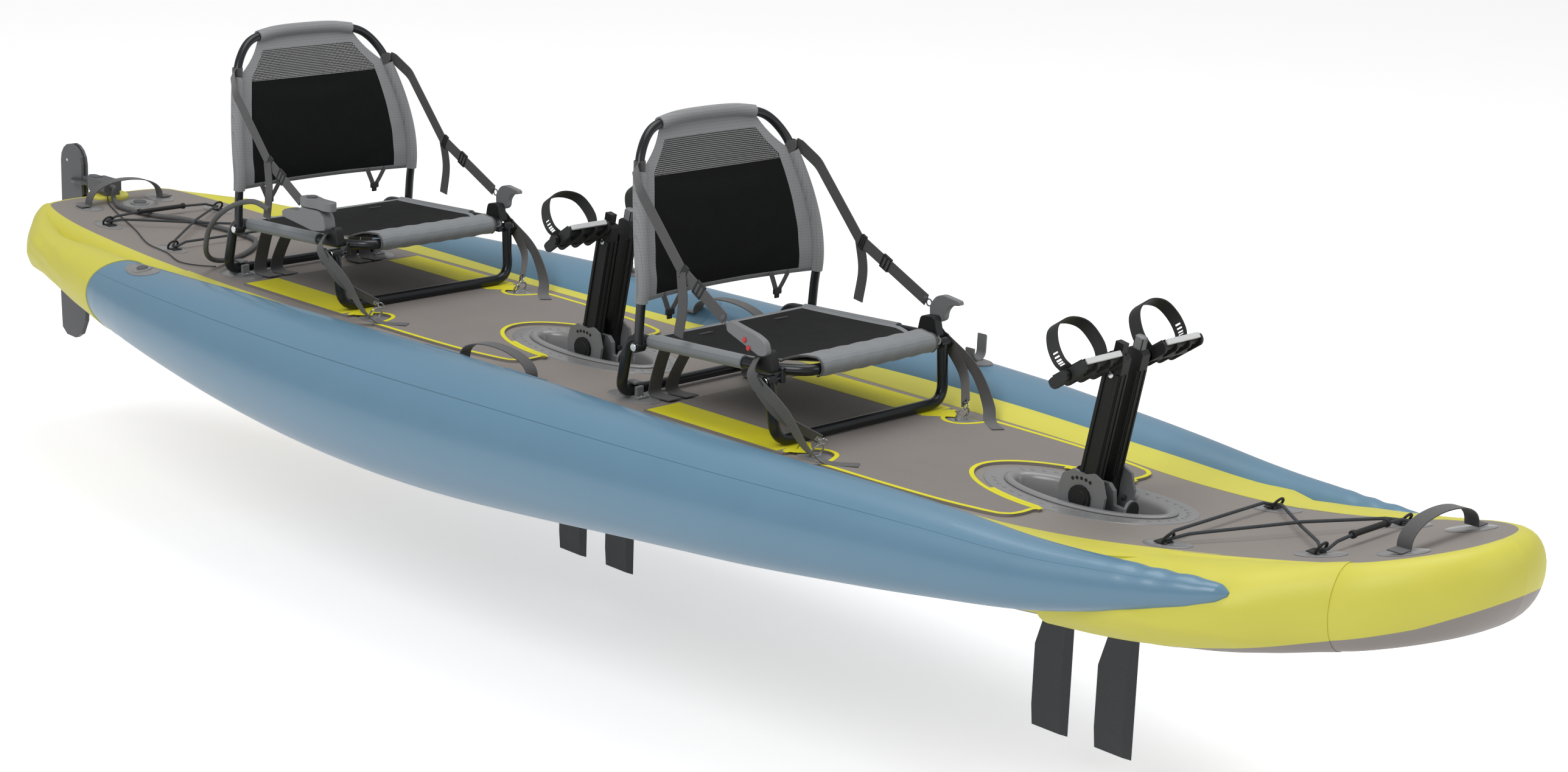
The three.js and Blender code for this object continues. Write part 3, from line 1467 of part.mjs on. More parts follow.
function pedal() {
  const middle = pedalInset + pedalWidth / 2;
  const outline = pedalShares.map(([x, z]) => [x * pedalLength, z * pedalThickness]);
  const tread = sidePlate(outline, pedalWidth);
  const pockets = [];
  for (const side of [-1, 1]) {
    const pocket = block(pedalLength * 0.16, pedalWidth * 0.8, pedalThickness);
    pockets.push(at(pocket, side * pedalLength * 0.3, 0, -pedalThickness * 0.62));
  }
  const bore = rod(boreFor(pedalShaft, 8), pedalWidth * 2, 8);
  const reflector = block(toeStrapThickness * 2, pedalWidth * 0.86, pedalThickness * 0.5);
  const toe = strap(
    toeShares.map(([y, z]) => vec(0, y * pedalWidth, z * toeStrapHeight)), toeStrapWidth, vec(1, 0, 0),
    toeStrapThickness,
  );
  const body = join(cut(tread, ...pockets, bore), at(reflector, pedalLength / 2, 0, pedalThickness * 0.2), toe);
  const turned = body.rotateY(pedalPitch - armLean);
  return leaned(at(turned, 0, middle, armLength));
}

// A flexible fin: straight leading edge on its mast, knee and square tip, thinning
// towards the trailing edge. Depth below its axis, chord and thickness as shares.
const finShares = [[0.02, 0.28, 0.8], [0.05, 0.28, 0.9], [0.085, 0.55, 1], [0.5, 1, 1], [0.88, 1, 0.8], [1, 0.96, 0.5]];
const foilShares = [[0, 0], [-0.22, 0.5], [-1, 0.08], [-1, -0.08], [-0.22, -0.5]];

function fin(mast, hubX) {
  const lead = mast + mastRadius * 1.2;
  const rings = finShares.map(([depth, chord, thickness]) => foilShares.map(([along, side]) => vec(
    lead + along * chord * finChord, side * thickness * finThickness, finAxisHeight - depth * finLength,
  )));
  const stub = at(upright(mastRadius, finTop * 2, 6), mast, 0, finAxisHeight - finTop);
  const hub = at(lengthwise(finHub, finHubHalf * 2), hubX, 0, finAxisHeight);
  const bore = at(lengthwise(boreFor(finShaft, 8), finHubHalf * 4), hubX, 0, finAxisHeight);
  return cut(join(loft(rings), stub, hub), bore);
}

function drives() {
  const arm = pedalArm();
  const foot = pedal();
  const pieces = {
    drive_spine: [driveSpine(), 'plastic'],
    drive_shaft: [shaftWithCaps(), 'black'],
    pedal_arm_port: [arm, 'black'],
    pedal_arm_starboard: [mirrored(arm), 'black'],
    pedal_port: [foot, 'black'],
    pedal_starboard: [mirrored(foot), 'black'],
    fin_fore: [fin(frontMast, finHubX.front), 'dark'],
    fin_aft: [fin(rearMast, finHubX.rear), 'dark'],
  };
  for (const { name, shift } of cockpits) {
    for (const [piece, [geometry, colour]] of Object.entries(pieces)) {
      add(`${piece}_${name}`, at(geometry, frontWellX + driveOffset + shift, 0, deckHeight), colour);
    }
  }
}

// Rudder, at heights above the flat of the deck

function between(geometry, x, y, low, high) {
  return at(geometry, x, y, deckHeight + (low + high) / 2);
}

function rudderBracket() {
  const { x, length, width, top, bottom } = bracketSize;
  const base = deckZ(rudderPad.x) - deckHeight + 2 * clearance;
  const slope = Math.atan((deckZ(rudderPad.x + length / 2) - deckZ(rudderPad.x - length / 2)) / length);
  const disc = oval(rudderPad.radius, rudderPad.radius, rudderPad.thickness, 16).rotateY(-slope);
  const low = base + rudderPad.thickness / 2;
  const pieces = [
    between(block(length, width, top - bottom), x, 0, bottom, top),
    between(block(length * 0.8, width * 0.8, bottom - low + earThickness), x + length * 0.1, 0, low, bottom),
    at(disc, rudderPad.x, 0, deckHeight + base),
  ];
  const earReach = x - length * 0.3 - rudderAxisX;
  const ears = [
    [hubSpan[0] - 2 * clearance - earThickness, hubSpan[0] - 2 * clearance],
    [hubSpan[1] + 2 * clearance, hubSpan[1] + 2 * clearance + earThickness],
  ];
  for (const [a, b] of ears) {
    pieces.push(between(upright(headHub, b - a, 12), rudderAxisX, 0, a, b));
    pieces.push(between(block(earReach, headHub * 2, b - a), rudderAxisX + earReach / 2, 0, a, b));
  }
  pieces.push(between(upright(pinRadius, ears[1][1] - ears[0][0], 8), rudderAxisX, 0, ears[0][0], ears[1][1]));
  return cut(join(...pieces), at(boardRoom, 0, 0, clearance));
}

function rudderHead() {
  const middle = (rudderPlateBack + rudderPlateFront) / 2;
  const radius = (rudderPlateFront - rudderPlateBack) / 2;
  const plate = (inset) => {
    const r = radius - inset;
    const outline = [];
    const steps = 8;
    for (let i = 0; i <= steps; i += 1) {
      const a = (i / steps) * Math.PI;
      outline.push([middle + r * Math.cos(a), rudderTop - radius + r * Math.sin(a)]);
    }
    outline.push([middle - r, rudderForkBottom + r / 3], [middle - r * 0.7, rudderForkBottom + inset]);
    outline.push([middle + r * 0.7, rudderForkBottom + inset], [middle + r, rudderForkBottom + r / 3]);
    return outline;
  };
  const layer = rudderThickness / 3;
  const layers = [-1, 1].map((side) => at(sidePlate(plate(0), layer), 0, side * layer, 0));
  const core = sidePlate(plate(rudderGroove), layer + clearance);
  const slotTop = bladePinHeight + bladeHub + earThickness / 2;
  const slotHeight = slotTop - rudderForkBottom + overrun;
  const slot = at(block(radius * 4, rudderSlot, slotHeight), middle, 0, slotTop - slotHeight / 2);
  const fork = at(cut(join(core, ...layers), slot), 0, 0, deckHeight);
  const pin = at(rod(pinRadius, rudderThickness * 1.2, 8), bladePinX, 0, deckHeight + bladePinHeight);
  const hubMiddle = (hubSpan[0] + hubSpan[1]) / 2;
  const hub = between(upright(headHub, hubSpan[1] - hubSpan[0], 12), rudderAxisX, 0, ...hubSpan);
  const webReach = rudderAxisX - rudderPlateFront + rudderGroove * 2;
  const web = at(block(webReach, rudderThickness * 0.8, (hubSpan[1] - hubSpan[0]) * 0.8),
    rudderAxisX - webReach / 2, 0, deckHeight + hubMiddle);
  const yoke = at(oval(radius * 0.9, radius * 0.6, yokeThickness, 12), rudderPlateFront - rudderGroove, 0,
    deckHeight + yokeHeight);
  const bore = between(upright(boreFor(pinRadius, 8), overrun * 3, 8), rudderAxisX, 0, ...hubSpan);
  return cut(join(fork, pin, hub, web, yoke), bore);
}

// Rudder blade, forward and down from its pin, as shares of its chord and depth.
const bladeShares = [
  [0.2, 0.13], [0.42, 0.22], [0.455, 0.684], [0.4, 0.852], [0.21, 0.959], [-0.03, 1], [-0.41, 0.995],
  [-0.6, 0.95], [-0.655, 0.571], [-0.6, 0.247], [-0.2, 0.15],
];

function rudderBlade() {
  const depth = bladePinHeight - rudderTip;
  const outline = bladeShares.map(([x, z]) => [x * bladeChord, -z * depth]);
  const steps = 8;
  for (let i = 0; i <= steps; i += 1) {
    const a = Math.PI * (1 - i / steps);
    outline.push([bladeHub * Math.cos(a), bladeHub * Math.sin(a)]);
  }
  const bore = rod(boreFor(pinRadius, 8), rudderThickness * 2, 8);
  return at(cut(sidePlate(outline, bladeThickness), bore), bladePinX, 0, deckHeight + bladePinHeight);
}

// Steering conduit and up-haul line: along the deck from the rudder to the rear seat,
// as shares of that way, of the spacing of the seat's legs and of the seat's height.
const conduitShares = [
  [0.035, -0.08, 0.05], [0.075, -0.14, 0.01], [0.124, -0.2, 0], [0.256, -0.11, 0], [0.347, 0.066, 0], [0.476, 0.154, 0],
  [0.589, 0.174, 0], [0.691, 0.124, 0], [0.789, -0.166, 0], [0.86, -0.58, 0], [0.918, -0.93, 0.17],
  [0.971, -1.11, 0.47],
];
const conduitSeatShares = [[0, 1.13, 0.92], [0.147, 1.14, 1.34], [0.36, 1.13, 1.6], [0.47, 1.105, 1.52]];
const lineShares = [
  [0.053, -0.18], [0.12, -0.27], [0.187, -0.35], [0.374, -0.564], [0.544, -0.79], [0.663, -0.85], [0.786, -0.975],
  [0.844, -0.93], [0.892, -0.817],
];

function steeringLines() {
  const start = bracketSize.x + bracketSize.length / 2 + conduitRadius / 2;
  const seatX = frontSeatX - cockpitPitch;
  const along = (share) => start + (seatX - start) * share;
  const conduitHeight = deckHeight + (bracketSize.top + bracketSize.bottom) / 2;
  const conduit = [
    vec(start, -conduitRadius, conduitHeight), vec(start + conduitRadius * 2, -conduitRadius, conduitHeight),
    ...conduitShares.map(([x, y, z]) => over(along(x), y * legSpacing, conduitRest + z * seatRearHeight)),
    ...conduitSeatShares.map(([x, y, z]) => vec(
      seatX + x * seatDepth, -y * legSpacing, deckHeight + z * seatRearHeight,
    )),
  ];
  const line = [
    vec(start, -bracketSize.width * 0.4, deckHeight + bracketSize.bottom),
    vec(start + conduitRadius, -bracketSize.width * 0.45, deckHeight + bracketSize.bottom),
    ...lineShares.map(([x, y]) => over(along(x), y * legSpacing, lineRest)),
  ];
  add('steering_conduit', tube(smooth(conduit, 26), conduitRadius, 5), 'dark');
  add('uphaul_line', tube(smooth(line, 16), lineRadius, 4), 'dark');
}

hull();
wells();
deckPads();
add('bow_bungee', bungee(bowAnchors), 'dark');
add('stern_bungee', bungee(sternAnchors), 'dark');
seats();
drives();
add('rudder_bracket', rudderBracket(), 'plastic');
add('rudder_head', rudderHead(), 'plastic');
add('rudder_blade', rudderBlade(), 'dark');
steeringLines();

export default kayak;
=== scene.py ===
import math

import bmesh
import bpy
from mathutils import Matrix, Vector


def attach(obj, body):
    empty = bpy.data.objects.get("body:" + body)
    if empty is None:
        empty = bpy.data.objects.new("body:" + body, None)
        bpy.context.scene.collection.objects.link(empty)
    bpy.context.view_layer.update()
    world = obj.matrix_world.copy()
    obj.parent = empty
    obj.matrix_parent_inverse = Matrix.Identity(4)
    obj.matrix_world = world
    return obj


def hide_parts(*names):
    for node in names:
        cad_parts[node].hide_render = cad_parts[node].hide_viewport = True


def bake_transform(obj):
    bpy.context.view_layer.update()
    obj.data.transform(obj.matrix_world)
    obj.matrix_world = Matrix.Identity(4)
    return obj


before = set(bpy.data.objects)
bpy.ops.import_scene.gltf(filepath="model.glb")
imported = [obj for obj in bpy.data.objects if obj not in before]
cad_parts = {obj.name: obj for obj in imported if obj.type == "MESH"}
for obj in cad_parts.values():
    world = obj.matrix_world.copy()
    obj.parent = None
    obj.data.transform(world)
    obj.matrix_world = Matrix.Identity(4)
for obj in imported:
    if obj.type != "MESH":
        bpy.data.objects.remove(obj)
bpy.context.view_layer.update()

# An inflatable tandem pedal kayak. Lengths are in millimetres up to the moment a mesh is
# made; +X is the bow, +Y is port and +Z is up from the flat bottom.
MM = 0.001
SIGNS = (-1, 1)
SIDES = (("starboard", -1), ("port", 1))
# Where each seat's rear corner and the middle of each drive well lie
COCKPITS = (("front", 125.0), ("rear", -1220.0))
WELLS = (("front", 1140.0), ("rear", -205.0))
# The board: half its length and width, its thickness, its rails, and how its ends bend up
HALF_LENGTH = 2135.0
BEAM = 335.0
THICKNESS = 150.0
RAIL = 50.0
BOW_BEND, BOW_RISE = 1080.0, 190.0
STERN_BEND, STERN_RISE = -1450.0, 25.0
# The side tubes: greatest radius, and how far out and down their line lies
TUBE_RADIUS = 144.0
TUBE_SPACING = 412.0
TUBE_DROP = 88.0
# The wells: half their length and width at the deck, and how much each half narrows to the bottom
WELL_HALF_X = 172.0
WELL_HALF_Y = 58.0
WELL_TAPER = 14.0
# Places on the deck, along and across: cord loops, carry handles with their height, valve
BOW_LOOPS = ((1438, 158), (1722, 124))
STERN_LOOPS = ((-1530, 168), (-1822, 160))
HANDLES = (("bow", 1862, 100, 47), ("stern", -1998, 104, 56))
VALVE = (-1968, 26)
# Places by each seat, from its rear corner: its clamps, and its tie-down rings and their lean
CLAMP_Y = 189
RING_X, RING_Y = 526, 205
RING_LEAN = 0.5


# Camera

def camera():
    """The photograph's viewpoint and lens, fitted to places seen on the boat."""
    yaw, pitch, roll = 0.77414121, 0.26176184, 0.03795618
    place = (4.27447289, -4.00515676, 1.69262809)
    ahead = vec(-math.sin(yaw) * math.cos(pitch), math.cos(yaw) * math.cos(pitch), -math.sin(pitch))
    right = ahead.cross(vec(0, 0, 1)).normalized()
    up = right.cross(ahead)
    c, s = math.cos(roll), math.sin(roll)
    right, up = c * right + s * up, c * up - s * right
    data = bpy.data.cameras.new("studio_camera")
    data.sensor_width = 36.0
    data.lens = 67.13
    data.clip_end = 60.0
    eye = linked(bpy.data.objects.new("studio_camera", data))
    turn = Matrix((right, up, -ahead)).transposed().to_4x4()
    eye.matrix_world = Matrix.Translation(place) @ turn
    bpy.context.scene.camera = eye


# Lines, rings and meshes

def vec(x, y, z):
    return Vector((x, y, z))


def rise(x):
    """How far the board has bent up at a place along it."""
    if x > BOW_BEND:
        return BOW_RISE * ((x - BOW_BEND) / (HALF_LENGTH - BOW_BEND)) ** 2
    if x < STERN_BEND:
        return STERN_RISE * ((STERN_BEND - x) / (STERN_BEND + HALF_LENGTH)) ** 2
    return 0.0


def deck_z(x):
    return THICKNESS + rise(x)


def over(x, y, lift):
    """A point that lies over the deck."""
    return vec(x, y, deck_z(x) + lift)


def lerp(a, b, t):
    return a + (b - a) * t


def clamped(t):
    return max(0.0, min(1.0, t))


def table(x, rows):
    """Straight-line reading of a table of (place, value) rows."""
    if x <= rows[0][0]:
        return rows[0][1]
    for (a, va), (b, vb) in zip(rows, rows[1:]):
        if x <= b:
            return lerp(va, vb, (x - a) / (b - a))
    return rows[-1][1]


def bend(start, corner, end, steps):
    """Points of a parabola that rounds a corner."""
    shares = [k / steps for k in range(steps + 1)]
    return [start * (1 - t) ** 2 + corner * (2 * t * (1 - t)) + end * t ** 2 for t in shares]


def rounded(points, radii, steps=7):
    """A path with its inner corners rounded."""
    path = [points[0]]
    for i in range(1, len(points) - 1):
        corner = points[i]
        back, on = points[i - 1] - corner, points[i + 1] - corner
        turn = (math.pi - back.angle(on)) / 2
        reach = min(radii[i - 1] * math.tan(turn), back.length / 2, on.length / 2)
        path += bend(corner + back.normalized() * reach, corner, corner + on.normalized() * reach, steps)
    path.append(points[-1])
    return path


def soft_outline(corners, steps=4, radius=9):
    """A closed outline with its corners rounded."""
    pts = [vec(a, b, 0) for a, b in corners]
    out = []
    for i, corner in enumerate(pts):
        back, on = pts[i - 1] - corner, pts[(i + 1) % len(pts)] - corner
        reach = min(radius, back.length * 0.4, on.length * 0.4)
        start, end = corner + back.normalized() * reach, corner + on.normalized() * reach
        out += [(p.x, p.y) for p in bend(start, corner, end, steps)]
    return out


def spline(points, count):
    """Centripetal Catmull-Rom curve through points, in count equal steps."""
    pts = [2 * points[0] - points[1], *points, 2 * points[-1] - points[-2]]
    out = []
    for k in range(count + 1):
        place = k / count * (len(points) - 1)
        i = min(int(place), len(points) - 2)
        t = place - i
        p0, p1, p2, p3 = pts[i:i + 4]
        d0, d1, d2 = (max((b - a).length ** 0.5, 1e-4) for a, b in ((p0, p1), (p1, p2), (p2, p3)))
        m1 = ((p1 - p0) / d0 - (p2 - p0) / (d0 + d1) + (p2 - p1) / d1) * d1
        m2 = ((p2 - p1) / d1 - (p3 - p1) / (d1 + d2) + (p3 - p2) / d2) * d1
        cubic = (2 * (p1 - p2) + m1 + m2) * t ** 3
        out.append(p1 + m1 * t + (3 * (p2 - p1) - 2 * m1 - m2) * t ** 2 + cubic)
    return out


def both_halves(half):
    """A path and its mirror image on the other side, joined in the middle."""
    near = half[:-1] if abs(half[-1].y) < 1e-6 else half
    return [*half, *[vec(p.x, -p.y, p.z) for p in reversed(near)]]


def lofted(rings, closed=False):
    """Points, faces and the length run along a skin drawn over rings of points, with flat ends."""
    count = len(rings[0])
    points = [p for ring in rings for p in ring]
    faces = []
    spans = len(rings) if closed else len(rings) - 1
    for i in range(spans):
        a, b = i * count, (i + 1) % len(rings) * count
        for j in range(count):
            k = (j + 1) % count
            faces.append((a + j, a + k, b + k, b + j))
    if not closed:
        faces.append(tuple(range(count - 1, -1, -1)))
        last = (len(rings) - 1) * count
        faces.append(tuple(range(last, last + count)))
    length, lengths = 0.0, []
    for i, ring in enumerate(rings):
        if i:
            length += (ring[0] - rings[i - 1][0]).length
        lengths += [length] * count
    return points, faces, lengths


def grid(rows):
    """Points and faces of a sheet over rows of points."""
    m, n = len(rows), len(rows[0])
    points = [p for row in rows for p in row]
    corners = [i * n + j for i in range(m - 1) for j in range(n - 1)]
    return points, [(a, a + 1, a + n + 1, a + n) for a in corners], [0.0] * len(points)


def combined(*parts):
    points, faces, run = [], [], []
    for p, f, r in parts:
        faces += [tuple(i + len(points) for i in face) for face in f]
        points += p
        run += r
    return points, faces, run


def shifted(part, dx):
    points, faces, run = part
    return [p + vec(dx, 0, 0) for p in points], faces, run


def turned(part, angle, dx, dy, dz):
    """Turns a part about the cross axis, then moves it."""
    turn = Matrix.Rotation(angle, 3, "Y")
    points, faces, run = part
    return [turn @ p + vec(dx, dy, dz) for p in points], faces, run


def cross_frames(points):
    """A pair of directions across a path at each point, carried along without twist."""
    frames = []
    across = None
    for i in range(len(points)):
        along = (points[min(i + 1, len(points) - 1)] - points[max(i - 1, 0)]).normalized()
        if across is None:
            across = along.orthogonal().normalized()
        across = (across - along * across.dot(along)).normalized()
        frames.append((across, along.cross(across)))
    return frames


def circle(centre, u, v, radius, sides):
    """A ring of points round a centre, in the plane of two directions."""
    turns = [2 * math.pi * j / sides for j in range(sides)]
    return [centre + (u * math.cos(a) + v * math.sin(a)) * radius for a in turns]


def cord(points, radius, sides=12):
    """A round cord or bent tube along points."""
    return lofted([circle(p, u, v, radius, sides) for p, (u, v) in zip(points, cross_frames(points))])


def band(points, width, across, thickness=1.8):
    """A flat strap along points with its width along a direction, or one for each point."""
    w, t = width / 2, thickness / 2
    shape = ((-w, -t), (-w / 2, -t), (w / 2, -t), (w, -t), (w, t), (w / 2, t), (-w / 2, t), (-w, t))
    rings = []
    for i, point in enumerate(points):
        wide = across[i] if isinstance(across, list) else across
        along = (points[min(i + 1, len(points) - 1)] - points[max(i - 1, 0)]).normalized()
        side = (wide - along * along.dot(wide)).normalized()
        up = along.cross(side)
        rings.append([point + side * a + up * b for a, b in shape])
    return lofted(rings)


def dense(points, across, step=6.0):
    """More points on a strap's route, with its directions, so that its bends come out soft."""
    length = sum((b - a).length for a, b in zip(points, points[1:]))
    line = spline(points, max(8, int(length / step)))
    if not isinstance(across, list):
        return line, across
    out = []
    for k in range(len(line)):
        place = k / (len(line) - 1) * (len(points) - 1)
        i = min(int(place), len(points) - 2)
        out.append(across[i].lerp(across[i + 1], place - i))
    return line, out


def bar(start, end, radius, sides=16):
    """A round bar with slightly broken edges."""
    along = (end - start).normalized()
    u = along.orthogonal().normalized()
    v = along.cross(u)
    lip = min(radius * 0.25, 0.8)
    edge = along * lip
    stations = ((start, radius - lip), (start + edge, radius), (end - edge, radius), (end, radius - lip))
    return lofted([circle(centre, u, v, size, sides) for centre, size in stations])


def cross_bar(x, y0, y1, z, radius, sides=16):
    """A round bar that lies across the boat."""
    return bar(vec(x, y0, z), vec(x, y1, z), radius, sides)


def slab(outline, thickness, frame_of):
    """A plate of an outline with broken edges; frame_of puts (a, b, c) in place."""
    area = sum(a[0] * b[1] - b[0] * a[1] for a, b in zip(outline, outline[1:] + outline[:1]))
    line = outline if area > 0 else outline[::-1]
    lip = min(thickness * 0.22, 1.2)
    inner = []
    for i, p in enumerate(line):
        a, b = Vector(line[i - 1]), Vector(line[(i + 1) % len(line)])
        q = Vector(p)
        n = ((q - a).normalized() + (b - q).normalized())
        n = Vector((-n.y, n.x)).normalized() if n.length > 1e-6 else Vector((0, 0))
        inner.append(q + n * lip)
    half = thickness / 2
    levels = ((inner, -half), (line, -half + lip), (line, half - lip), (inner, half))
    return lofted([[frame_of(q[0], q[1], c) for q in ring] for ring, c in levels])


def brick(centre, size, axes=None, lip=1.0):
    """A block with broken edges, its sides along three directions."""
    u, v, w = axes or (vec(1, 0, 0), vec(0, 1, 0), vec(0, 0, 1))
    a, b, c = (s / 2 for s in size)
    lip = min(lip, a / 2, b / 2, c / 2)
    rings = []
    for height, cut in ((-c, lip), (-c + lip, 0), (c - lip, 0), (c, lip)):
        x, y = a - cut, b - cut
        ring = ((-x + lip, -y), (x - lip, -y), (x, -y + lip), (x, y - lip),
                (x - lip, y), (-x + lip, y), (-x, y - lip), (-x, -y + lip))
        rings.append([centre + u * p + v * q + w * height for p, q in ring])
    return lofted(rings)


def ring_of(centre, radius, wire, u, v, around=28, sides=8):
    """A ring of round wire."""
    w = u.cross(v).normalized()
    spokes = circle(vec(0, 0, 0), u, v, 1, around)
    return lofted([circle(centre + out * radius, out, w, wire, sides) for out in spokes], closed=True)


def linked(obj):
    bpy.context.scene.collection.objects.link(obj)
    return obj


def piece(name, part, material, sharp=40, materials=(), extra=None):
    """One object at the origin with its place in its mesh, faces out."""
    points, faces, run = part
    mesh = bpy.data.meshes.new(name)
    mesh.from_pydata([tuple(c * MM for c in p) for p in points], [], faces)
    for key, values in {"run": run, **(extra or {})}.items():
        mesh.attributes.new(key, "FLOAT", "POINT").data.foreach_set("value", values)
    work = bmesh.new()
    work.from_mesh(mesh)
    bmesh.ops.recalc_face_normals(work, faces=work.faces)
    work.to_mesh(mesh)
    work.free()
    for used in (material, *materials):
        mesh.materials.append(used)
    mesh.polygons.foreach_set("use_smooth", [True] * len(mesh.polygons))
    mesh.set_sharp_from_angle(angle=math.radians(sharp))
    return linked(bpy.data.objects.new(name, mesh))


def rides(made, body, node=None):
    """Gives a finished piece its body and, where it stands for a CAD piece, hides that node."""
    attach(made, body)
    if node:
        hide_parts(node)
    return made


def settled(obj):
    """Turns what a piece's modifiers make into its plain mesh."""
    seen = bpy.context.evaluated_depsgraph_get()
    made = bpy.data.meshes.new_from_object(obj.evaluated_get(seen))
    obj.modifiers.clear()
    obj.data = made
    return obj


def carved(obj, *cutters):
    """Cuts pieces out of a piece and removes the cutters."""
    for cutter in cutters:
        tool = obj.modifiers.new("carve", "BOOLEAN")
        tool.operation = "DIFFERENCE"
        tool.solver = "EXACT"
        tool.object = cutter
    settled(obj)
    for cutter in cutters:
        bpy.data.objects.remove(cutter)
    obj.data.set_sharp_from_angle(angle=math.radians(40))
    return obj


# Materials

def linear(hex_colour):
    """sRGB hex to the linear colour that a shader socket takes."""
    out = []
    for i in (1, 3, 5):
        c = int(hex_colour[i:i + 2], 16) / 255
        out.append(c / 12.92 if c <= 0.04045 else ((c + 0.055) / 1.055) ** 2.4)
    return (*out, 1.0)


def put(tree, kind, values=None, wires=None, **settings):
    """Adds one node with its settings, values and links."""
    made = tree.nodes.new(kind)
    for key, value in settings.items():
        setattr(made, key, value)
    for key, value in (values or {}).items():
        made.inputs[key].default_value = value
    for key, source in (wires or {}).items():
        tree.links.new(source, made.inputs[key])
    return made


def finish(name, hex_colour, roughness, metallic=0.0, mottle=0.06, mottle_size=90.0, grain=2.4, depth=0.06,
           coat=0.0, sheen=0.0, ior=1.5):
    """A surface with a soft mottle and a fine relief, their sizes in millimetres."""
    material = bpy.data.materials.new(name)
    material.use_nodes = True
    tree = material.node_tree
    tree.nodes.clear()
    place = put(tree, "ShaderNodeTexCoord").outputs["Object"]
    cloud = put(tree, "ShaderNodeTexNoise", {"Scale": 1000 / mottle_size, "Detail": 3.0}, {"Vector": place})
    base = linear(hex_colour)
    dark = (*[c * (1 - mottle) for c in base[:3]], 1.0)
    light = (*[min(1.0, c * (1 + mottle)) for c in base[:3]], 1.0)
    wires = {"Factor": cloud.outputs["Fac"]}
    colour = put(tree, "ShaderNodeMix", {"A": dark, "B": light}, wires, data_type="RGBA")
    fine = put(tree, "ShaderNodeTexNoise", {"Scale": 1000 / grain, "Detail": 2.0}, {"Vector": place})
    relief = {"Strength": 0.6, "Distance": depth * MM * 10}
    bump = put(tree, "ShaderNodeBump", relief, {"Height": fine.outputs["Fac"]})
    gloss = {"To Min": max(0.02, roughness - 0.05), "To Max": min(1, roughness + 0.05)}
    rough = put(tree, "ShaderNodeMapRange", gloss, {"Value": cloud.outputs["Fac"]})
    values = {"Metallic": metallic, "Coat Weight": coat, "Sheen Weight": sheen, "IOR": ior}
    wires = {"Base Color": colour.outputs["Result"], "Roughness": rough.outputs[0], "Normal": bump.outputs[0]}
    shader = put(tree, "ShaderNodeBsdfPrincipled", values, wires, name="surface")
    put(tree, "ShaderNodeOutputMaterial", wires={"Surface": shader.outputs[0]}, name="out")
    return material


def overlaid(material, hex_colour, factor):
    """Lays a second colour over a finish where a factor says."""
    tree = material.node_tree
    base = tree.nodes["surface"].inputs["Base Color"]
    wires = {"Factor": factor, "A": base.links[0].from_socket}
    both = put(tree, "ShaderNodeMix", {"B": linear(hex_colour)}, wires, data_type="RGBA")
    tree.links.new(both.outputs["Result"], base)
    return material


def painted_over(material, attribute, hex_colour, low, high):
    """Paints a second colour where a vertex attribute lies between two values."""
    tree = material.node_tree
    value = put(tree, "ShaderNodeAttribute", attribute_name=attribute).outputs["Fac"]
    above = put(tree, "ShaderNodeMath", {1: low}, {0: value}, operation="GREATER_THAN")
    below = put(tree, "ShaderNodeMath", {1: high}, {0: value}, operation="LESS_THAN")
    wires = {0: above.outputs[0], 1: below.outputs[0]}
    inside = put(tree, "ShaderNodeMath", None, wires, operation="MULTIPLY")
    return overlaid(material, hex_colour, inside.outputs[0])


def ribbed(material, pitch, depth):
    """Ribs of a woven strap or a braid, one each pitch millimetres along the piece's run."""
    tree = material.node_tree
    normal = tree.nodes["surface"].inputs["Normal"]
    value = put(tree, "ShaderNodeAttribute", attribute_name="run").outputs["Fac"]
    turn = put(tree, "ShaderNodeMath", {1: 2 * math.pi / pitch}, {0: value}, operation="MULTIPLY")
    wave = put(tree, "ShaderNodeMath", None, {0: turn.outputs[0]}, operation="SINE")
    wires = {"Height": wave.outputs[0], "Normal": normal.links[0].from_socket}
    bump = put(tree, "ShaderNodeBump", {"Strength": 0.7, "Distance": depth * MM}, wires)
    tree.links.new(bump.outputs[0], normal)
    return material


def gridded(material, pitch, hex_colour, share, axes=("Y", "Z"), see_through=False):
    """Ripstop squares or the threads of a net, one each pitch millimetres, with holes between if asked."""
    tree = material.node_tree
    place = put(tree, "ShaderNodeTexCoord").outputs["Object"]
    split = put(tree, "ShaderNodeSeparateXYZ", None, {0: place})
    threads = []
    for axis in axes:
        across = split.outputs[axis]
        scaled = put(tree, "ShaderNodeMath", {1: 1000 / pitch}, {0: across}, operation="MULTIPLY")
        part = put(tree, "ShaderNodeMath", None, {0: scaled.outputs[0]}, operation="FRACT")
        thread = put(tree, "ShaderNodeMath", {1: share}, {0: part.outputs[0]}, operation="LESS_THAN")
        threads.append(thread.outputs[0])
    lines = put(tree, "ShaderNodeMath", None, dict(enumerate(threads)), operation="MAXIMUM").outputs[0]
    if see_through:
        tree.links.new(lines, tree.nodes["surface"].inputs["Alpha"])
    return overlaid(material, hex_colour, lines)


# PVC-coated polyester of the deck: dull, with a faint pressed relief and no sharp highlight
deck_cloth = finish("pvc_deck_cloth", "#8a837e", 0.62, mottle=0.05, grain=3.0, depth=0.10)
# Moulded EVA foam of the cockpit pads: a pressed grain that takes the shine away
pad_foam = finish("embossed_pad_foam", "#827c78", 0.78, mottle=0.06, grain=2.2, depth=0.16)
# Calendered PVC cloth of the side tubes: smooth and taut, so that it carries a soft broad highlight.
# Its welded overlaps show as two darker lines, placed as shares of a turn round the tube.
tube_cloth = finish("pvc_tube_cloth", "#61869e", 0.34, mottle=0.03, grain=2.6, depth=0.025, coat=0.15)
for seam in (0.9035, 0.622):
    painted_over(tube_cloth, "turn", "#466678", seam, seam + 0.002)
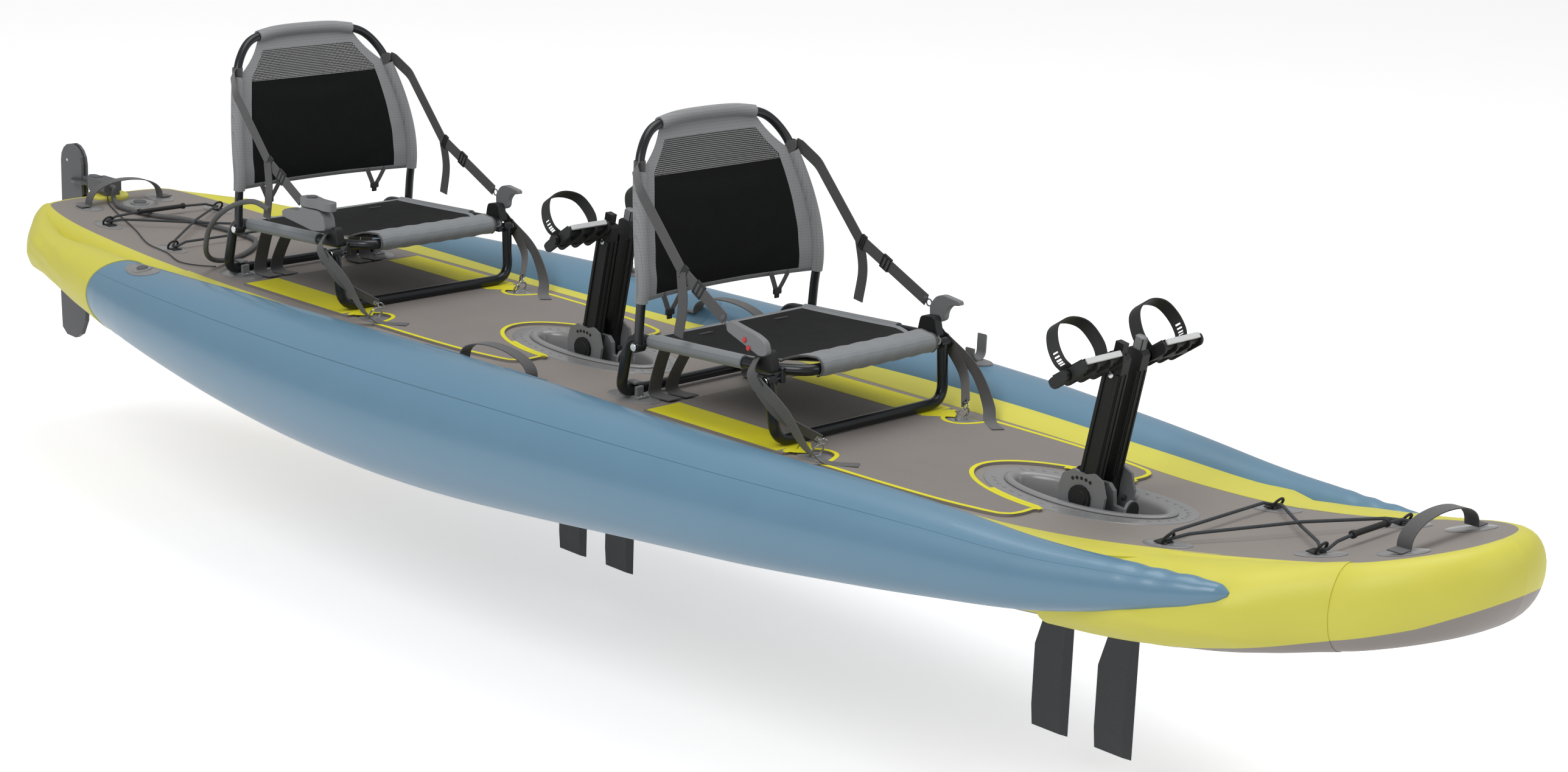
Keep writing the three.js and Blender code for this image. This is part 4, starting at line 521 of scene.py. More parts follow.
# The same cloth in small welded patches: flatter and a little duller
patch_cloth = finish("pvc_patch_cloth", "#587b91", 0.42, mottle=0.03, grain=2.6, depth=0.03)
# Calendered PVC cloth of the walls and of the disc under the rudder: satin
lime_cloth = finish("pvc_lime_cloth", "#d2cc50", 0.5, mottle=0.03, grain=2.6, depth=0.03)
# The same on rails and sleeves, with the grey keel cloth welded on below the keel line
rail_cloth = finish("pvc_rail_cloth", "#d2cc50", 0.5, mottle=0.03, grain=2.6, depth=0.03)
painted_over(rail_cloth, "keel", "#8d8681", -500, 0)
# Screen print on the foam: it takes the foam's relief and dulls a little
lime_print = finish("lime_print", "#dfd71f", 0.6, mottle=0.04, grain=2.2, depth=0.12)
# Moulded PVC of the wells, the valves and the deck's patches: half gloss with a slight orange peel
well_plastic = finish("moulded_well_plastic", "#828283", 0.3, mottle=0.04, grain=8, depth=0.03, coat=0.2)
# Glass-filled nylon from the mould, in three greys: satin, with the fine grain of its fibres
grey_nylon = finish("grey_glass_nylon", "#77787a", 0.45, mottle=0.05, grain=2.0, depth=0.05)
dark_nylon = finish("dark_glass_nylon", "#55565a", 0.5, mottle=0.06, grain=2.0, depth=0.06)
black_nylon = finish("black_glass_nylon", "#141517", 0.58, mottle=0.08, grain=2.0, depth=0.06)
# Moulded rubber of the toe straps: matt
rubber = finish("black_rubber", "#202122", 0.62, mottle=0.08, grain=3.0, depth=0.08)
# Cast rubber of the fins: matt and faintly mottled
fin_rubber = finish("fin_rubber", "#303234", 0.55, mottle=0.10, grain=2.0, depth=0.1)
# Powder-coated aluminium tube: smooth, with clear highlights along it
coated_tube = finish("coated_aluminium_tube", "#25282b", 0.24, metallic=0.35, mottle=0.05, grain=5,
                     depth=0.01)
# Polished stainless steel: bright, with clear reflections
bright_steel = finish("polished_steel", "#c4c6c8", 0.2, metallic=1.0, mottle=0.03, grain=4, depth=0.01)
# Prismatic reflector strip in its plastic skin: pale and glossy with a fine facet relief
reflector = finish("reflector_strip", "#d9dadb", 0.35, mottle=0.05, grain=1.6, depth=0.12)
# Moulded ABS push button: plain red with a soft gloss
red_button = finish("red_button", "#c9252b", 0.35, mottle=0.04)
# Woven polyester webbing: ribbed across, with a soft bloom
webbing = finish("polyester_webbing", "#4d4c4d", 0.85, mottle=0.08, grain=1.8, depth=0.12, sheen=0.3)
ribbed(webbing, 3.0, 0.25)
# Braided cover of the shock cord: small knots of light and dark, no shine
shock_cord = finish("braided_shock_cord", "#3d4145", 0.8, mottle=0.2, mottle_size=8, grain=1.6,
                    depth=0.2)
ribbed(shock_cord, 3.0, 0.4)
# Woven sleeve over the steering cables: dull, with the ribs of its braid
conduit_sleeve = finish("woven_conduit_sleeve", "#5f5f60", 0.75, mottle=0.15, mottle_size=8, grain=2)
ribbed(conduit_sleeve, 3.0, 0.4)
# Ripstop nylon of the backrests' borders: a faint grid of thicker threads, 6 mm apart
ripstop = finish("ripstop_border_cloth", "#88898b", 0.7, mottle=0.05, grain=2, depth=0.08, sheen=0.2)
gridded(ripstop, 6.0, "#78797b", 0.14)
# The same on the seats, which lie flat
roll_cloth = finish("ripstop_roll_cloth", "#7c8083", 0.75, mottle=0.05, grain=2, depth=0.08, sheen=0.2)
gridded(roll_cloth, 6.0, "#6d7174", 0.14, axes=("X", "Y"))
# Knitted spacer net of the backrests: near black, its cells swallow the light
black_net = finish("black_back_net", "#060707", 0.9, mottle=0.15, mottle_size=30, grain=2, depth=0.1,
                   ior=1.3)
gridded(black_net, 4.0, "#101112", 0.3)
# The same net on the seats, where it looks a little smoother
seat_net = finish("black_seat_net", "#070808", 0.75, mottle=0.15, mottle_size=30, grain=2, depth=0.1,
                  ior=1.35)
gridded(seat_net, 4.0, "#141516", 0.3, axes=("X", "Y"))
# Single-layer net of the backrests' upper band: its gaps are as wide as its threads, so that what lies
# behind shows a little
open_net = finish("open_top_net", "#4a4b4c", 0.7, mottle=0.1)
gridded(open_net, 3.6, "#1c1d1e", 0.5, see_through=True)


# The board

# Outline of the deck from stern to bow, as shares of half its length and half its width
PLAN_SHARES = ((-1, 0), (-0.999, 0.34), (-0.988, 0.58), (-0.958, 0.7), (-0.883, 0.8), (-0.768, 0.87),
               (-0.67, 0.925), (-0.546, 0.98), (-0.35, 1), (0, 1), (0.253, 0.985), (0.43, 0.937), (0.58, 0.82),
               (0.68, 0.722), (0.76, 0.683), (0.83, 0.69), (0.866, 0.675), (0.893, 0.6), (0.917, 0.485),
               (0.937, 0.33), (0.9475, 0.165), (0.951, 0))
PLAN_STEPS = 204
# Height of the keel cloth's upper edge over the bottom, at places along the boat
KEEL = ((-2135, 30), (-1900, 12), (1474, 8), (1731, 20), (1939, 35), (2053, 56), (2135, 80))


def plan_line(count):
    pts = [Vector((a * HALF_LENGTH, b * BEAM)) for a, b in PLAN_SHARES]
    last = len(pts) - 1
    out = []
    for k in range(count + 1):
        place = k / count * last
        i = min(int(place), last - 1)
        t = place - i
        p0, p1, p2, p3 = pts[max(i - 1, 0)], pts[i], pts[i + 1], pts[min(i + 2, last)]
        v0, v1 = (p2 - p0) * 0.5, (p3 - p1) * 0.5
        cubic = (2 * p1 - 2 * p2 + v0 + v1) * t ** 3
        out.append(cubic + (3 * p2 - 3 * p1 - 2 * v0 - v1) * t ** 2 + v0 * t + p1)
    return out


plan = plan_line(PLAN_STEPS)


def deck_half_width(x):
    for a, b in zip(plan, plan[1:]):
        if a.x <= x <= b.x:
            return lerp(a.y, b.y, (x - a.x) / max(b.x - a.x, 1e-6)) - RAIL
    return 0.0


def oval(x0, y0, half_x, half_y, count):
    """Plan points of an oval, as (x, y)."""
    turns = [2 * math.pi * i / count for i in range(count)]
    return [(x0 + half_x * math.cos(a), y0 + half_y * math.sin(a)) for a in turns]


def well_oval(x0, z, inset):
    """A ring of points in a well's opening at a height."""
    cut = inset + WELL_TAPER * (THICKNESS - z) / THICKNESS
    return [vec(x, y, z) for x, y in oval(x0, 0, WELL_HALF_X - cut, WELL_HALF_Y - cut, 56)]


def board():
    levels = 18
    ring = [*plan, *[Vector((p.x, -p.y)) for p in reversed(plan[1:-1])]]
    count = len(ring)
    points, keel, faces = [], [], []
    for k in range(levels + 1):
        angle = (k / levels - 0.5) * math.pi
        inset = RAIL * (1 - math.cos(angle))
        z = THICKNESS / 2 * (1 + math.sin(angle))
        for i in range(count):
            step = ring[(i + 1) % count] - ring[i - 1]
            p = ring[i] - Vector((-step.y, step.x)).normalized() * inset
            points.append(vec(p.x, p.y, z + rise(p.x)))
            keel.append(z - table(p.x, KEEL))
    for k in range(levels):
        for i in range(count):
            j = (i + 1) % count
            faces.append((k * count + i, k * count + j, (k + 1) * count + j, (k + 1) * count + i))
    rail_faces = len(faces)
    for base in (0, levels * count):
        for i in range(len(plan) - 1):
            quad = (base + i, base + i + 1, base + (count - i - 1) % count, base + (count - i) % count)
            faces.append(tuple(dict.fromkeys(quad)))
    made = piece("hull_shell", (points, faces, [0.0] * len(points)), rail_cloth, materials=(deck_cloth,),
                 extra={"keel": keel})
    for polygon in list(made.data.polygons)[rail_faces:]:
        polygon.material_index = 1
    rooms = []
    for name, x in WELLS:
        room = lofted([well_oval(x, z, 0) for z in (-60, THICKNESS, 300)])
        rooms.append(piece("well_room_" + name, room, deck_cloth))
    rides(carved(made, *rooms), "hull", "hull_board")


def disc_patch(x, y, half_x, half_y, height, count=32, dome=0.0):
    """A welded oval patch that follows the deck's rise, with a rolled edge."""
    top = height + dome
    rings = []
    for share, lift in ((1.0, -0.6), (1.0, height * 0.6), (0.965, height), (0.55, top), (0.06, top)):
        rings.append([over(a, b, lift) for a, b in oval(x, y, half_x * share, half_y * share, count)])
    return lofted(rings)


def disc_ring(x, in_x, in_y, out_x, out_y, height, count=64):
    """A flat oval ring of welded cloth round a well."""
    rings = []
    for share, lift in ((0.0, -0.3), (0.0, height), (0.5, height + 0.6), (0.97, height), (1.0, -0.3)):
        line = oval(x, 0, lerp(in_x, out_x, share), lerp(in_y, out_y, share), count)
        rings.append([over(a, b, lift) for a, b in line])
    return lofted(rings, closed=True)


def ribbon(path, width, lift):
    """A flat printed line of a width along a path in plan, lying on the deck."""
    rings = []
    for i, (x, y) in enumerate(path):
        a, b = path[max(i - 1, 0)], path[min(i + 1, len(path) - 1)]
        along = Vector((b[0] - a[0], b[1] - a[1])).normalized()
        out = Vector((-along.y, along.x)) * width / 2
        left, right = (x + out.x, y + out.y), (x - out.x, y - out.y)
        low = lift - 0.5
        rings.append([over(*left, low), over(*right, low), over(*right, lift), over(*left, lift)])
    return lofted(rings)


def soft_line(corners, count):
    """A smooth line in plan through corners."""
    return [(p.x, p.y) for p in spline([vec(a, b, 0) for a, b in corners], count)]


# How far a well's middle lies ahead of its seat's rear corner
WELL_AHEAD = 1015
PAD_TOP, PAD_FOOT = 5.4, 0.3


def quarter(half_x, half_y, steps):
    """Curve round the rear of a well, from its side to its end on the centre plane."""
    turns = [math.pi / 2 * k / steps for k in range(steps + 1)]
    return [(WELL_AHEAD - half_x * math.sin(a), half_y * math.cos(a)) for a in turns]


def pad_line():
    """Half outline of a deck pad, from its rear corner to the middle of the curve round the well."""
    notch = soft_line([(476, 246), (484, 212), (502, 180), (526, 171), (550, 180), (568, 212), (576, 246)], 24)
    edge = soft_line([(576, 246), (763, 242), (880, 234), (955, 222)], 14)
    tip = soft_line([(955, 222), (992, 210), (1005, 180), (1005, 146)], 10)
    return [(92, 246), (476, 246), *notch[1:], *edge[1:], *tip[1:], *quarter(252, 132, 26)]


def deck_pad(name, x0, half):
    """A foam pad, with points inside its outline for its padding."""
    outline = [*half, *[(x, -y) for x, y in reversed(half[:-1])]]
    work = bmesh.new()
    work.faces.new([work.verts.new((x0 + x, y, 0)) for x, y in outline])
    bmesh.ops.triangulate(work, faces=work.faces[:])
    bmesh.ops.subdivide_edges(work, edges=[e for e in work.edges if e.calc_length() > 160], cuts=3)
    index = {v: i for i, v in enumerate(work.verts)}
    n = len(index)
    points = [over(v.co.x, v.co.y, lift) for lift in (PAD_TOP, PAD_FOOT) for v in index]
    faces = [tuple(index[v] for v in f.verts) for f in work.faces]
    faces += [tuple(i + n for i in reversed(face)) for face in faces]
    for edge in work.edges:
        if edge.is_boundary:
            a, b = (index[v] for v in edge.verts)
            faces.append((a, b, b + n, a + n))
    work.free()
    made = piece("cockpit_pad_" + name, (points, faces, [0.0] * len(points)), pad_foam)
    rides(made, "hull", "deck_pad_" + name)


def pad_print(name, x0, half):
    """The printed line round a pad, and a broad stripe with a hooked end along each side."""
    tip = next(i for i, p in enumerate(half) if p[0] > 478) + 58
    lines = []
    for sign in SIGNS:
        path = []
        for x, y in half[1:tip]:
            path.append((x0 + x - (2.8 if x > 985 else 0), sign * (y - 5 if x < 1000 else y)))
        arc = [(x0 + x, sign * y) for x, y in quarter(257, 137, 30)]
        stripe = [(x0 + x, sign * 201.5) for x in range(100, 470, 20)]
        hook = [(x0 + x, sign * y) for x, y in ((458, 201.5), (470, 199), (488, 180))]
        for line, width, lift in ((path, 9, 5.9), (arc, 9, 5.9), (stripe, 88, 5.9), (hook, 70, 5.8)):
            lines.append(ribbon(line, width, lift))
    rides(piece("lime_pad_print_" + name, combined(*lines), lime_print), "hull")


def deck_hardware():
    """Patches, rings, loops, saddles and the valve that are fixed to the deck."""
    patches, steel, loops, clamps = [], [], [], []
    for sign in SIGNS:
        for x, y in (*BOW_LOOPS, *STERN_LOOPS):
            patches.append(disc_patch(x, sign * y, 50, 26, 1.8))
            loops.append(ring_of(over(x, sign * y, 10), 13, 2.6, vec(0, 1, 0), vec(0.5, 0, 0.87)))
            tab = over(x, sign * y, 2.6) - vec(math.copysign(9, x), 0, 0)
            loops.append(brick(tab, (26, 24, 2.4), lip=0.6))
        for _, x, y, _ in HANDLES:
            patches.append(disc_patch(x, sign * y, 46, 32, 1.8))
        for _, x0 in COCKPITS:
            ring_x, ring_y, clamp_y = x0 + RING_X, sign * RING_Y, sign * CLAMP_Y
            patches.append(disc_patch(x0, clamp_y, 66, 40, 1.8))
            patches.append(disc_patch(ring_x, ring_y, 46, 27, 2.2, dome=1.2))
            lean = vec(math.sin(RING_LEAN), 0, math.cos(RING_LEAN))
            steel.append(ring_of(vec(ring_x, ring_y, 163), 16.5, 2.1, vec(0, 1, 0), lean))
            steel.append(cross_bar(ring_x, ring_y - 12, ring_y + 12, 153.5, 2.4, 10))
            clamps.append(brick(vec(x0, clamp_y, 153.5), (58, 28, 6)))
            clamps += [brick(vec(x0 + end * 15.6, clamp_y, 165), (8, 19, 22)) for end in SIGNS]
            clamps.append(brick(vec(x0, clamp_y, 181.6), (26, 19, 5.4)))
            steel.append(bar(vec(x0 + 22, clamp_y, 156), vec(x0 + 22, clamp_y, 158), 4, 12))
    patches += [disc_patch(*VALVE, 46, 46, 1.6, 40), disc_patch(*VALVE, 24, 24, 5, 40)]
    cap = [disc_patch(*VALVE, 17, 17, 7, 32)]
    for name, parts, material in (("welded_patches", patches, well_plastic), ("valve_cap", cap, dark_nylon),
                                  ("anchor_loops", loops, black_nylon), ("deck_rings", steel, bright_steel),
                                  ("seat_saddles", clamps, grey_nylon)):
        rides(piece(name, combined(*parts), material), "hull")


# Side tubes, walls and sleeves

# Stations from stern to bow: shares of half the length, of the radius, of the spacing and of the drop
TUBE_SHARES = ((-0.905, 0.03, 0.74, 0.45), (-0.9, 0.12, 0.745, 0.46), (-0.885, 0.2, 0.755, 0.48),
               (-0.84, 0.31, 0.785, 0.52), (-0.76, 0.44, 0.85, 0.6), (-0.66, 0.58, 0.92, 0.7),
               (-0.515, 0.76, 0.97, 0.85), (-0.375, 0.9, 0.99, 0.97), (-0.235, 0.98, 1, 1.02),
               (-0.094, 1, 1, 0.98), (0.05, 0.92, 1.005, 0.84), (0.187, 0.815, 1.01, 0.68),
               (0.328, 0.73, 0.975, 0.57), (0.42, 0.665, 0.925, 0.5), (0.515, 0.57, 0.875, 0.42),
               (0.61, 0.43, 0.83, 0.33), (0.69, 0.3, 0.775, 0.1), (0.75, 0.19, 0.73, -0.12),
               (0.772, 0.12, 0.715, -0.22), (0.78, 0.03, 0.71, -0.25))
TUBE_STEPS = 228
tube_stations = []
for along, _, out, down in TUBE_SHARES:
    tube_stations.append(vec(along * HALF_LENGTH, out * TUBE_SPACING, THICKNESS - down * TUBE_DROP))
tube_line = spline(tube_stations, TUBE_STEPS)


def eased_radii():
    """Radius at each step of the tube's line, averaged along it so that no station shows."""
    raw = []
    for k in range(TUBE_STEPS + 1):
        place = k / TUBE_STEPS * (len(TUBE_SHARES) - 1)
        i = min(int(place), len(TUBE_SHARES) - 2)
        raw.append(TUBE_RADIUS * lerp(TUBE_SHARES[i][1], TUBE_SHARES[i + 1][1], place - i))
    out = []
    for k in range(TUBE_STEPS + 1):
        reach = min(7, k, TUBE_STEPS - k)
        span = raw[k - reach:k + reach + 1]
        out.append(sum(span) / len(span))
    return out


tube_radii = eased_radii()


def tube_at(x):
    """Middle across, middle up and radius of the port tube at a place along it."""
    for k in range(TUBE_STEPS):
        a, b = tube_line[k], tube_line[k + 1]
        if a.x <= x <= b.x:
            t = (x - a.x) / (b.x - a.x)
            centre = a.lerp(b, t)
            return centre.y, centre.z, lerp(tube_radii[k], tube_radii[k + 1], t)
    return TUBE_SPACING, THICKNESS - TUBE_DROP, TUBE_RADIUS


def on_tube(x, y, lift, sign=1):
    cy, cz, radius = tube_at(x)
    return vec(x, sign * y, cz + math.sqrt(radius ** 2 - (y - cy) ** 2) + lift)


def tube_skin(name, sign):
    """A side tube, puckered a little where the bow and stern sleeves grip it."""
    sides = 72
    row = sides + 1
    points, faces, turn, run = [], [], [], []
    for centre, radius in zip(tube_line, tube_radii):
        bow_grip = math.exp(-((centre.x - 1545) / 75) ** 2)
        stern_grip = 0.7 * math.exp(-((centre.x + 1370) / 60) ** 2)
        for j in range(row):
            a = 2 * math.pi * j / sides + math.pi
            grip = bow_grip * max(0.0, math.sin(a)) + stern_grip
            size = radius - 1.3 * grip * (1 + math.sin(centre.x / 8.5 + 1.5 * math.cos(a)))
            y, z = centre.y + size * math.cos(a), centre.z + size * math.sin(a)
            points.append(vec(centre.x, sign * y, z))
            turn.append((a - math.pi) / (2 * math.pi))
            run.append(centre.x)
    for i in range(TUBE_STEPS):
        for j in range(sides):
            a = i * row + j
            faces.append((a, a + 1, a + row + 1, a + row))
    for base, centre in ((0, tube_line[0]), (TUBE_STEPS * row, tube_line[-1])):
        hub = len(points)
        points.append(vec(centre.x, sign * centre.y, centre.z))
        turn.append(0.5)
        run.append(centre.x)
        faces += [(hub, base + j, base + j + 1) for j in range(sides)]
    made = piece("side_tube_" + name, (points, faces, run), tube_cloth, extra={"turn": turn})
    rides(made, "hull", "pontoon_" + name)


def tube_patch(x0, sign, angle, half_x, half_turn, height, count=32, square=False):
    """A patch that lies on a side tube, its middle at an angle out from the top."""
    power = 0.35 if square else 1
    rings = []
    for share, lift in ((1.0, -0.6), (1.0, height * 0.6), (0.96, height), (0.5, height), (0.06, height)):
        ring = []
        for i in range(count):
            a = 2 * math.pi * i / count
            c, s = (math.copysign(abs(v) ** power, v) for v in (math.cos(a), math.sin(a)))
            x = x0 + half_x * share * c
            cy, cz, radius = tube_at(x)
            turn = angle + half_turn * share * s / radius
            out = radius + lift
            ring.append(vec(x, sign * (cy + out * math.sin(turn)), cz + out * math.cos(turn)))
        rings.append(ring)
    return lofted(rings)


def carry_handle(name, feet, apex, across):
    """A webbing handle that arches between its feet and lies flat beyond them."""
    width = foot = 28
    points = []
    for i in range(33):
        a = i / 32 * math.pi
        points.append(feet[0].lerp(feet[1], (1 - math.cos(a)) / 2) + apex * math.sin(a) ** 0.8)
    along = (feet[1] - feet[0]).normalized() * foot
    return piece(name, band([feet[0] - along, *points, feet[1] + along], width, across, 2.2), webbing)


def side_tube(name, sign):
    """A side tube with its carry handle, and its valve under a bare oval patch."""
    tube_skin(name, sign)
    feet = [on_tube(x, 328, 0.6, sign) for x in (-236, -24)]
    rides(carry_handle("tube_handle_" + name, feet, vec(0, 0, 46), vec(0, 1, 0)), "hull")
    tabs = [tube_patch(x, sign, -0.55, 58, 44, 1.2, square=True) for x in (-258, -2)]
    valve = [tube_patch(-1300, sign, 0.15, 62, 30, 1.6), tube_patch(-1300, sign, 0.15, 26, 22, 4)]
    cap = [tube_patch(-1300, sign, 0.15, 15, 13, 6)]
    for key, parts, material in (("tube_patches_", tabs, patch_cloth), ("tube_valve_", valve, well_plastic),
                                 ("tube_valve_cap_", cap, dark_nylon)):
        rides(piece(key + name, combined(*parts), material), "hull")


# Where the walls begin and end along the boat, and where they begin to sink and to draw in at the bow
WALL_STERN, WALL_BOW = -1320, 1560
WALL_SINKS, WALL_DRAWS_IN = 1330, 1250
WALL_STEPS = 120


def wall(name, sign):
    """Yellow wall that closes the corner between the deck and a side tube."""
    rings = []
    for k in range(WALL_STEPS + 1):
        x = lerp(WALL_STERN, WALL_BOW, k / WALL_STEPS)
        cy, cz, radius = tube_at(x)
        inner = deck_half_width(x) - 4
        base = deck_z(x) + 0.4
        top_y = cy - (radius - 3) * math.sin(0.8)
        sink = clamped((x - WALL_SINKS) / (WALL_BOW - WALL_SINKS)) ** 1.5
        top_z = lerp(max(cz + (radius - 3) * math.cos(0.8), base + 3), base - 6, sink)
        outer = max(cy, top_y + 1)
        draw_in = clamped((x - WALL_DRAWS_IN) / (WALL_BOW - WALL_DRAWS_IN)) ** 1.3
        top_y, outer = lerp(top_y, inner + 12, draw_in), lerp(outer, inner + 13, draw_in)
        mid_y, mid_z = (inner + top_y) / 2, base + (top_z - base) * 0.68 - 3 * sink
        shape = ((inner, base), (lerp(inner, mid_y, 0.5), lerp(base, mid_z, 0.6)), (mid_y, mid_z),
                 (lerp(mid_y, top_y, 0.6), lerp(mid_z, top_z, 0.75)), (top_y, top_z), (outer, top_z - 1),
                 (outer, base - 8), (inner + 4, base - 8))
        rings.append([vec(x, sign * y, z) for y, z in shape])
    made = piece("deck_wall_" + name, lofted(rings), lime_cloth, sharp=60)
    rides(made, "hull", "gunwale_" + name)


# Sleeve stations, bow then stern: place along the boat, centre across and up, half width, half height
BOW_SLEEVE = ((1290, 250, 82, 78, 72), (1400, 240, 93, 100, 74), (1473, 232, 101, 110, 74.5),
              (1540, 226, 111, 110, 75), (1601, 220, 121, 105, 75.5), (1640, 213, 128, 102, 76),
              (1665, 211, 133, 98, 76), (1700, 207, 141, 86, 76), (1740, 198, 149, 70, 76),
              (1780, 188, 159, 58, 76), (1815, 180.5, 167.3, 51.5, 76.5))
STERN_SLEEVE = ((-2085, 168, 96, 44, 73), (-2040, 205, 92, 44, 72), (-1990, 238, 95, 48, 67),
                (-1935, 268, 99, 52, 61), (-1890, 292, 103, 54, 56), (-1850, 308, 105, 50, 52),
                (-1793, 323, 104, 51, 51))
# Past this place the stern sleeve follows the tube, 6 to 1.2 mm off it
STERN_SLEEVE_ON_TUBE = -1793


def sleeve_station(kind, x):
    if kind == "stern" and x > STERN_SLEEVE_ON_TUBE:
        cy, cz, radius = tube_at(x)
        radius += lerp(6, 1.2, min(1.0, (x - STERN_SLEEVE_ON_TUBE) / 370))
        return cy, cz, radius, radius
    rows = BOW_SLEEVE if kind == "bow" else STERN_SLEEVE
    return tuple(table(x, [(row[0], row[k]) for row in rows]) for k in range(1, 5))


def sleeve_grid(kind, count, steps):
    """Stations of a sleeve for each of its points, folded a little and then eased along the boat."""
    rows = []
    for k in range(steps + 1):
        share = k / steps
        row = []
        for j in range(count):
            a = 2 * math.pi * j / count
            mouth = -1405 - 55 * max(0.0, math.cos(a - 0.2)) ** 1.5
            x = lerp(1290, 1815, share) if kind == "bow" else lerp(mouth, -2085, share)
            y, z, half_y, half_z = sleeve_station(kind, x)
            crossed = 1.5 * math.sin(x / 19 + 2.3 * a) * math.cos(a * 3 + x / 61)
            fold = math.sin(share * math.pi) ** 2 * (crossed + 1.3 * math.sin(a * 9 + x / 45))
            row.append([x, y, z, half_y + fold, half_z + fold * 0.6])
        rows.append(row)
    for _ in range(5):
        for k in range(1, steps):
            for before, here, after in zip(rows[k - 1], rows[k], rows[k + 1]):
                for m in range(1, 5):
                    here[m] = (before[m] + 2 * here[m] + after[m]) / 4
    return rows


def sleeve(kind, name, sign):
    """Cloth sleeve that binds a tube's end to the rail, from its mouth to where it dies away."""
    count = 72
    rings, keel = [], []
    for row in sleeve_grid(kind, count, 76):
        ring = []
        for j, (x, y, z, half_y, half_z) in enumerate(row):
            a = 2 * math.pi * j / count
            ring.append(vec(x, sign * (y + half_y * math.cos(a)), z + half_z * math.sin(a)))
            keel.append(ring[-1].z - rise(x) - table(x, KEEL) if kind == "bow" else 50.0)
        rings.append(ring)
    made = piece(f"{kind}_cloth_sleeve_{name}", lofted(rings), rail_cloth, extra={"keel": keel})
    rides(made, "hull", f"{kind}_sleeve_{name}")


def paddle_hook(name, x):
    """An open cradle on a stem, its foot on the port tube."""
    cy, _, radius = tube_at(x)
    top = on_tube(x, TUBE_SPACING, 22)
    outer, inner, steps = 20, 15, 16
    half_turns = [math.pi * i / steps for i in range(steps + 1)]
    outline = [(outer * math.cos(math.pi + a), outer * math.sin(math.pi + a)) for a in half_turns]
    outline += [(20.5, 30), (18.5, 34), (16, 34), (15, 21)]
    outline += [(inner * math.cos(-a), inner * math.sin(-a)) for a in half_turns]
    outline += [(-15, 9), (-20, 9)]
    cradle = slab(outline, 24, lambda a, b, c: vec(top.x - c, top.y + a, top.z + b))
    stem = brick(vec(top.x, top.y, top.z - 22), (20, 22, 12))
    foot = tube_patch(x, 1, (top.y - cy) / radius, 44, 26, 4)
    made = piece("paddle_cradle_" + name, combined(cradle, stem, foot), grey_nylon)
    rides(made, "hull", "paddle_hook_" + name)


def hull():
    board()
    half = pad_line()
    for name, x0 in COCKPITS:
        deck_pad(name, x0, half)
        pad_print(name, x0, half)
    deck_hardware()
    for name, sign in SIDES:
        side_tube(name, sign)
        wall(name, sign)
        for kind in ("bow", "stern"):
            sleeve(kind, name, sign)
    for name, x in (("front", 500), ("rear", -535)):
        paddle_hook(name, x)
    for name, x, y, height in HANDLES:
        level = deck_z(x + math.copysign(14, x)) + 3.4
        feet = [vec(x, -y, level), vec(x, y, level)]
        made = carry_handle(name + "_carry_handle", feet, vec(0, 0, height), vec(1, 0, 0))
        rides(made, "hull", name + "_handle")


# Section of a well's wall from its foot up, over its rim and down inside: height, and inset
WELL_SECTION = ((0.5, 0), (THICKNESS, 0), (151.4, -20), (153, -20.5), (155.4, -18), (156.6, -12), (155.8, -5),
                (152, 0.6), (146, 3.4), (120, 5), (90, 5.5), (60, 5), (20, 4.2), (0.5, 4))
WELL_GAP = 0.3


def well_shelf(x0, end):
    """A ledge inside a well's end, for the drive to stand on."""
    turns = [i / 12 * 0.56 for i in range(-12, 13)]
    outline = [(end * 157 * math.cos(a), 45 * math.sin(a)) for a in turns]
    outline += [(end * 130, outline[-1][1]), (end * 130, outline[0][1])]
    return slab(outline, 8, lambda a, b, c: vec(x0 + a, b, 66 + c))


def wells():
    for name, x in WELLS:
        rings = []
        for z, inset in WELL_SECTION:
            rings.append([p + vec(0, 0, rise(p.x)) for p in well_oval(x, z, inset + WELL_GAP)])
        shelves = [well_shelf(x, end) for end in SIGNS]
        ribs = []
        for ahead in (-96, -72, -48, 96, 72):
            ribs += [brick(vec(x + ahead, sign * 47.5, 118), (5, 5, 50), lip=1.5) for sign in SIGNS]
        parts = combined(lofted(rings, closed=True), *shelves, *ribs)
        made = piece("well_moulding_" + name, parts, well_plastic, sharp=50)
        rides(made, "hull", "drive_well_" + name)
        weld = disc_ring(x, 192.5, 78.5, 232, 118, 1.2)
        rides(piece("well_weld_patch_" + name, weld, well_plastic), "hull")
        beads = []
        for bx, by in oval(x, 0, 212, 98, 44):
            if abs(by) > 30 or bx > x:
                beads.append(brick(over(bx, by, 1.9), (9, 3, 1.2), lip=0.4))
        rides(piece("well_weld_beads_" + name, combined(*beads), well_plastic), "hull")


# Cords

# Height of a cord's middle over the deck where it runs free, and where it bends round the foot of a loop
CORD_RUN, CORD_FOOT = 16.7, 8.8


def loop_turn(x, y, side):
    """A cord's way through a loop and back, towards one end of the boat."""
    inboard = -math.copysign(10, y)
    return [over(x - side * 25, y + inboard * 2.5, CORD_RUN), over(x, y, CORD_FOOT),
            over(x + side * 7, y - inboard * 0.1, CORD_FOOT),
            over(x + side * 10, y + inboard * 0.5, CORD_FOOT),
            over(x + side * 10, y + inboard * 3, CORD_RUN)]


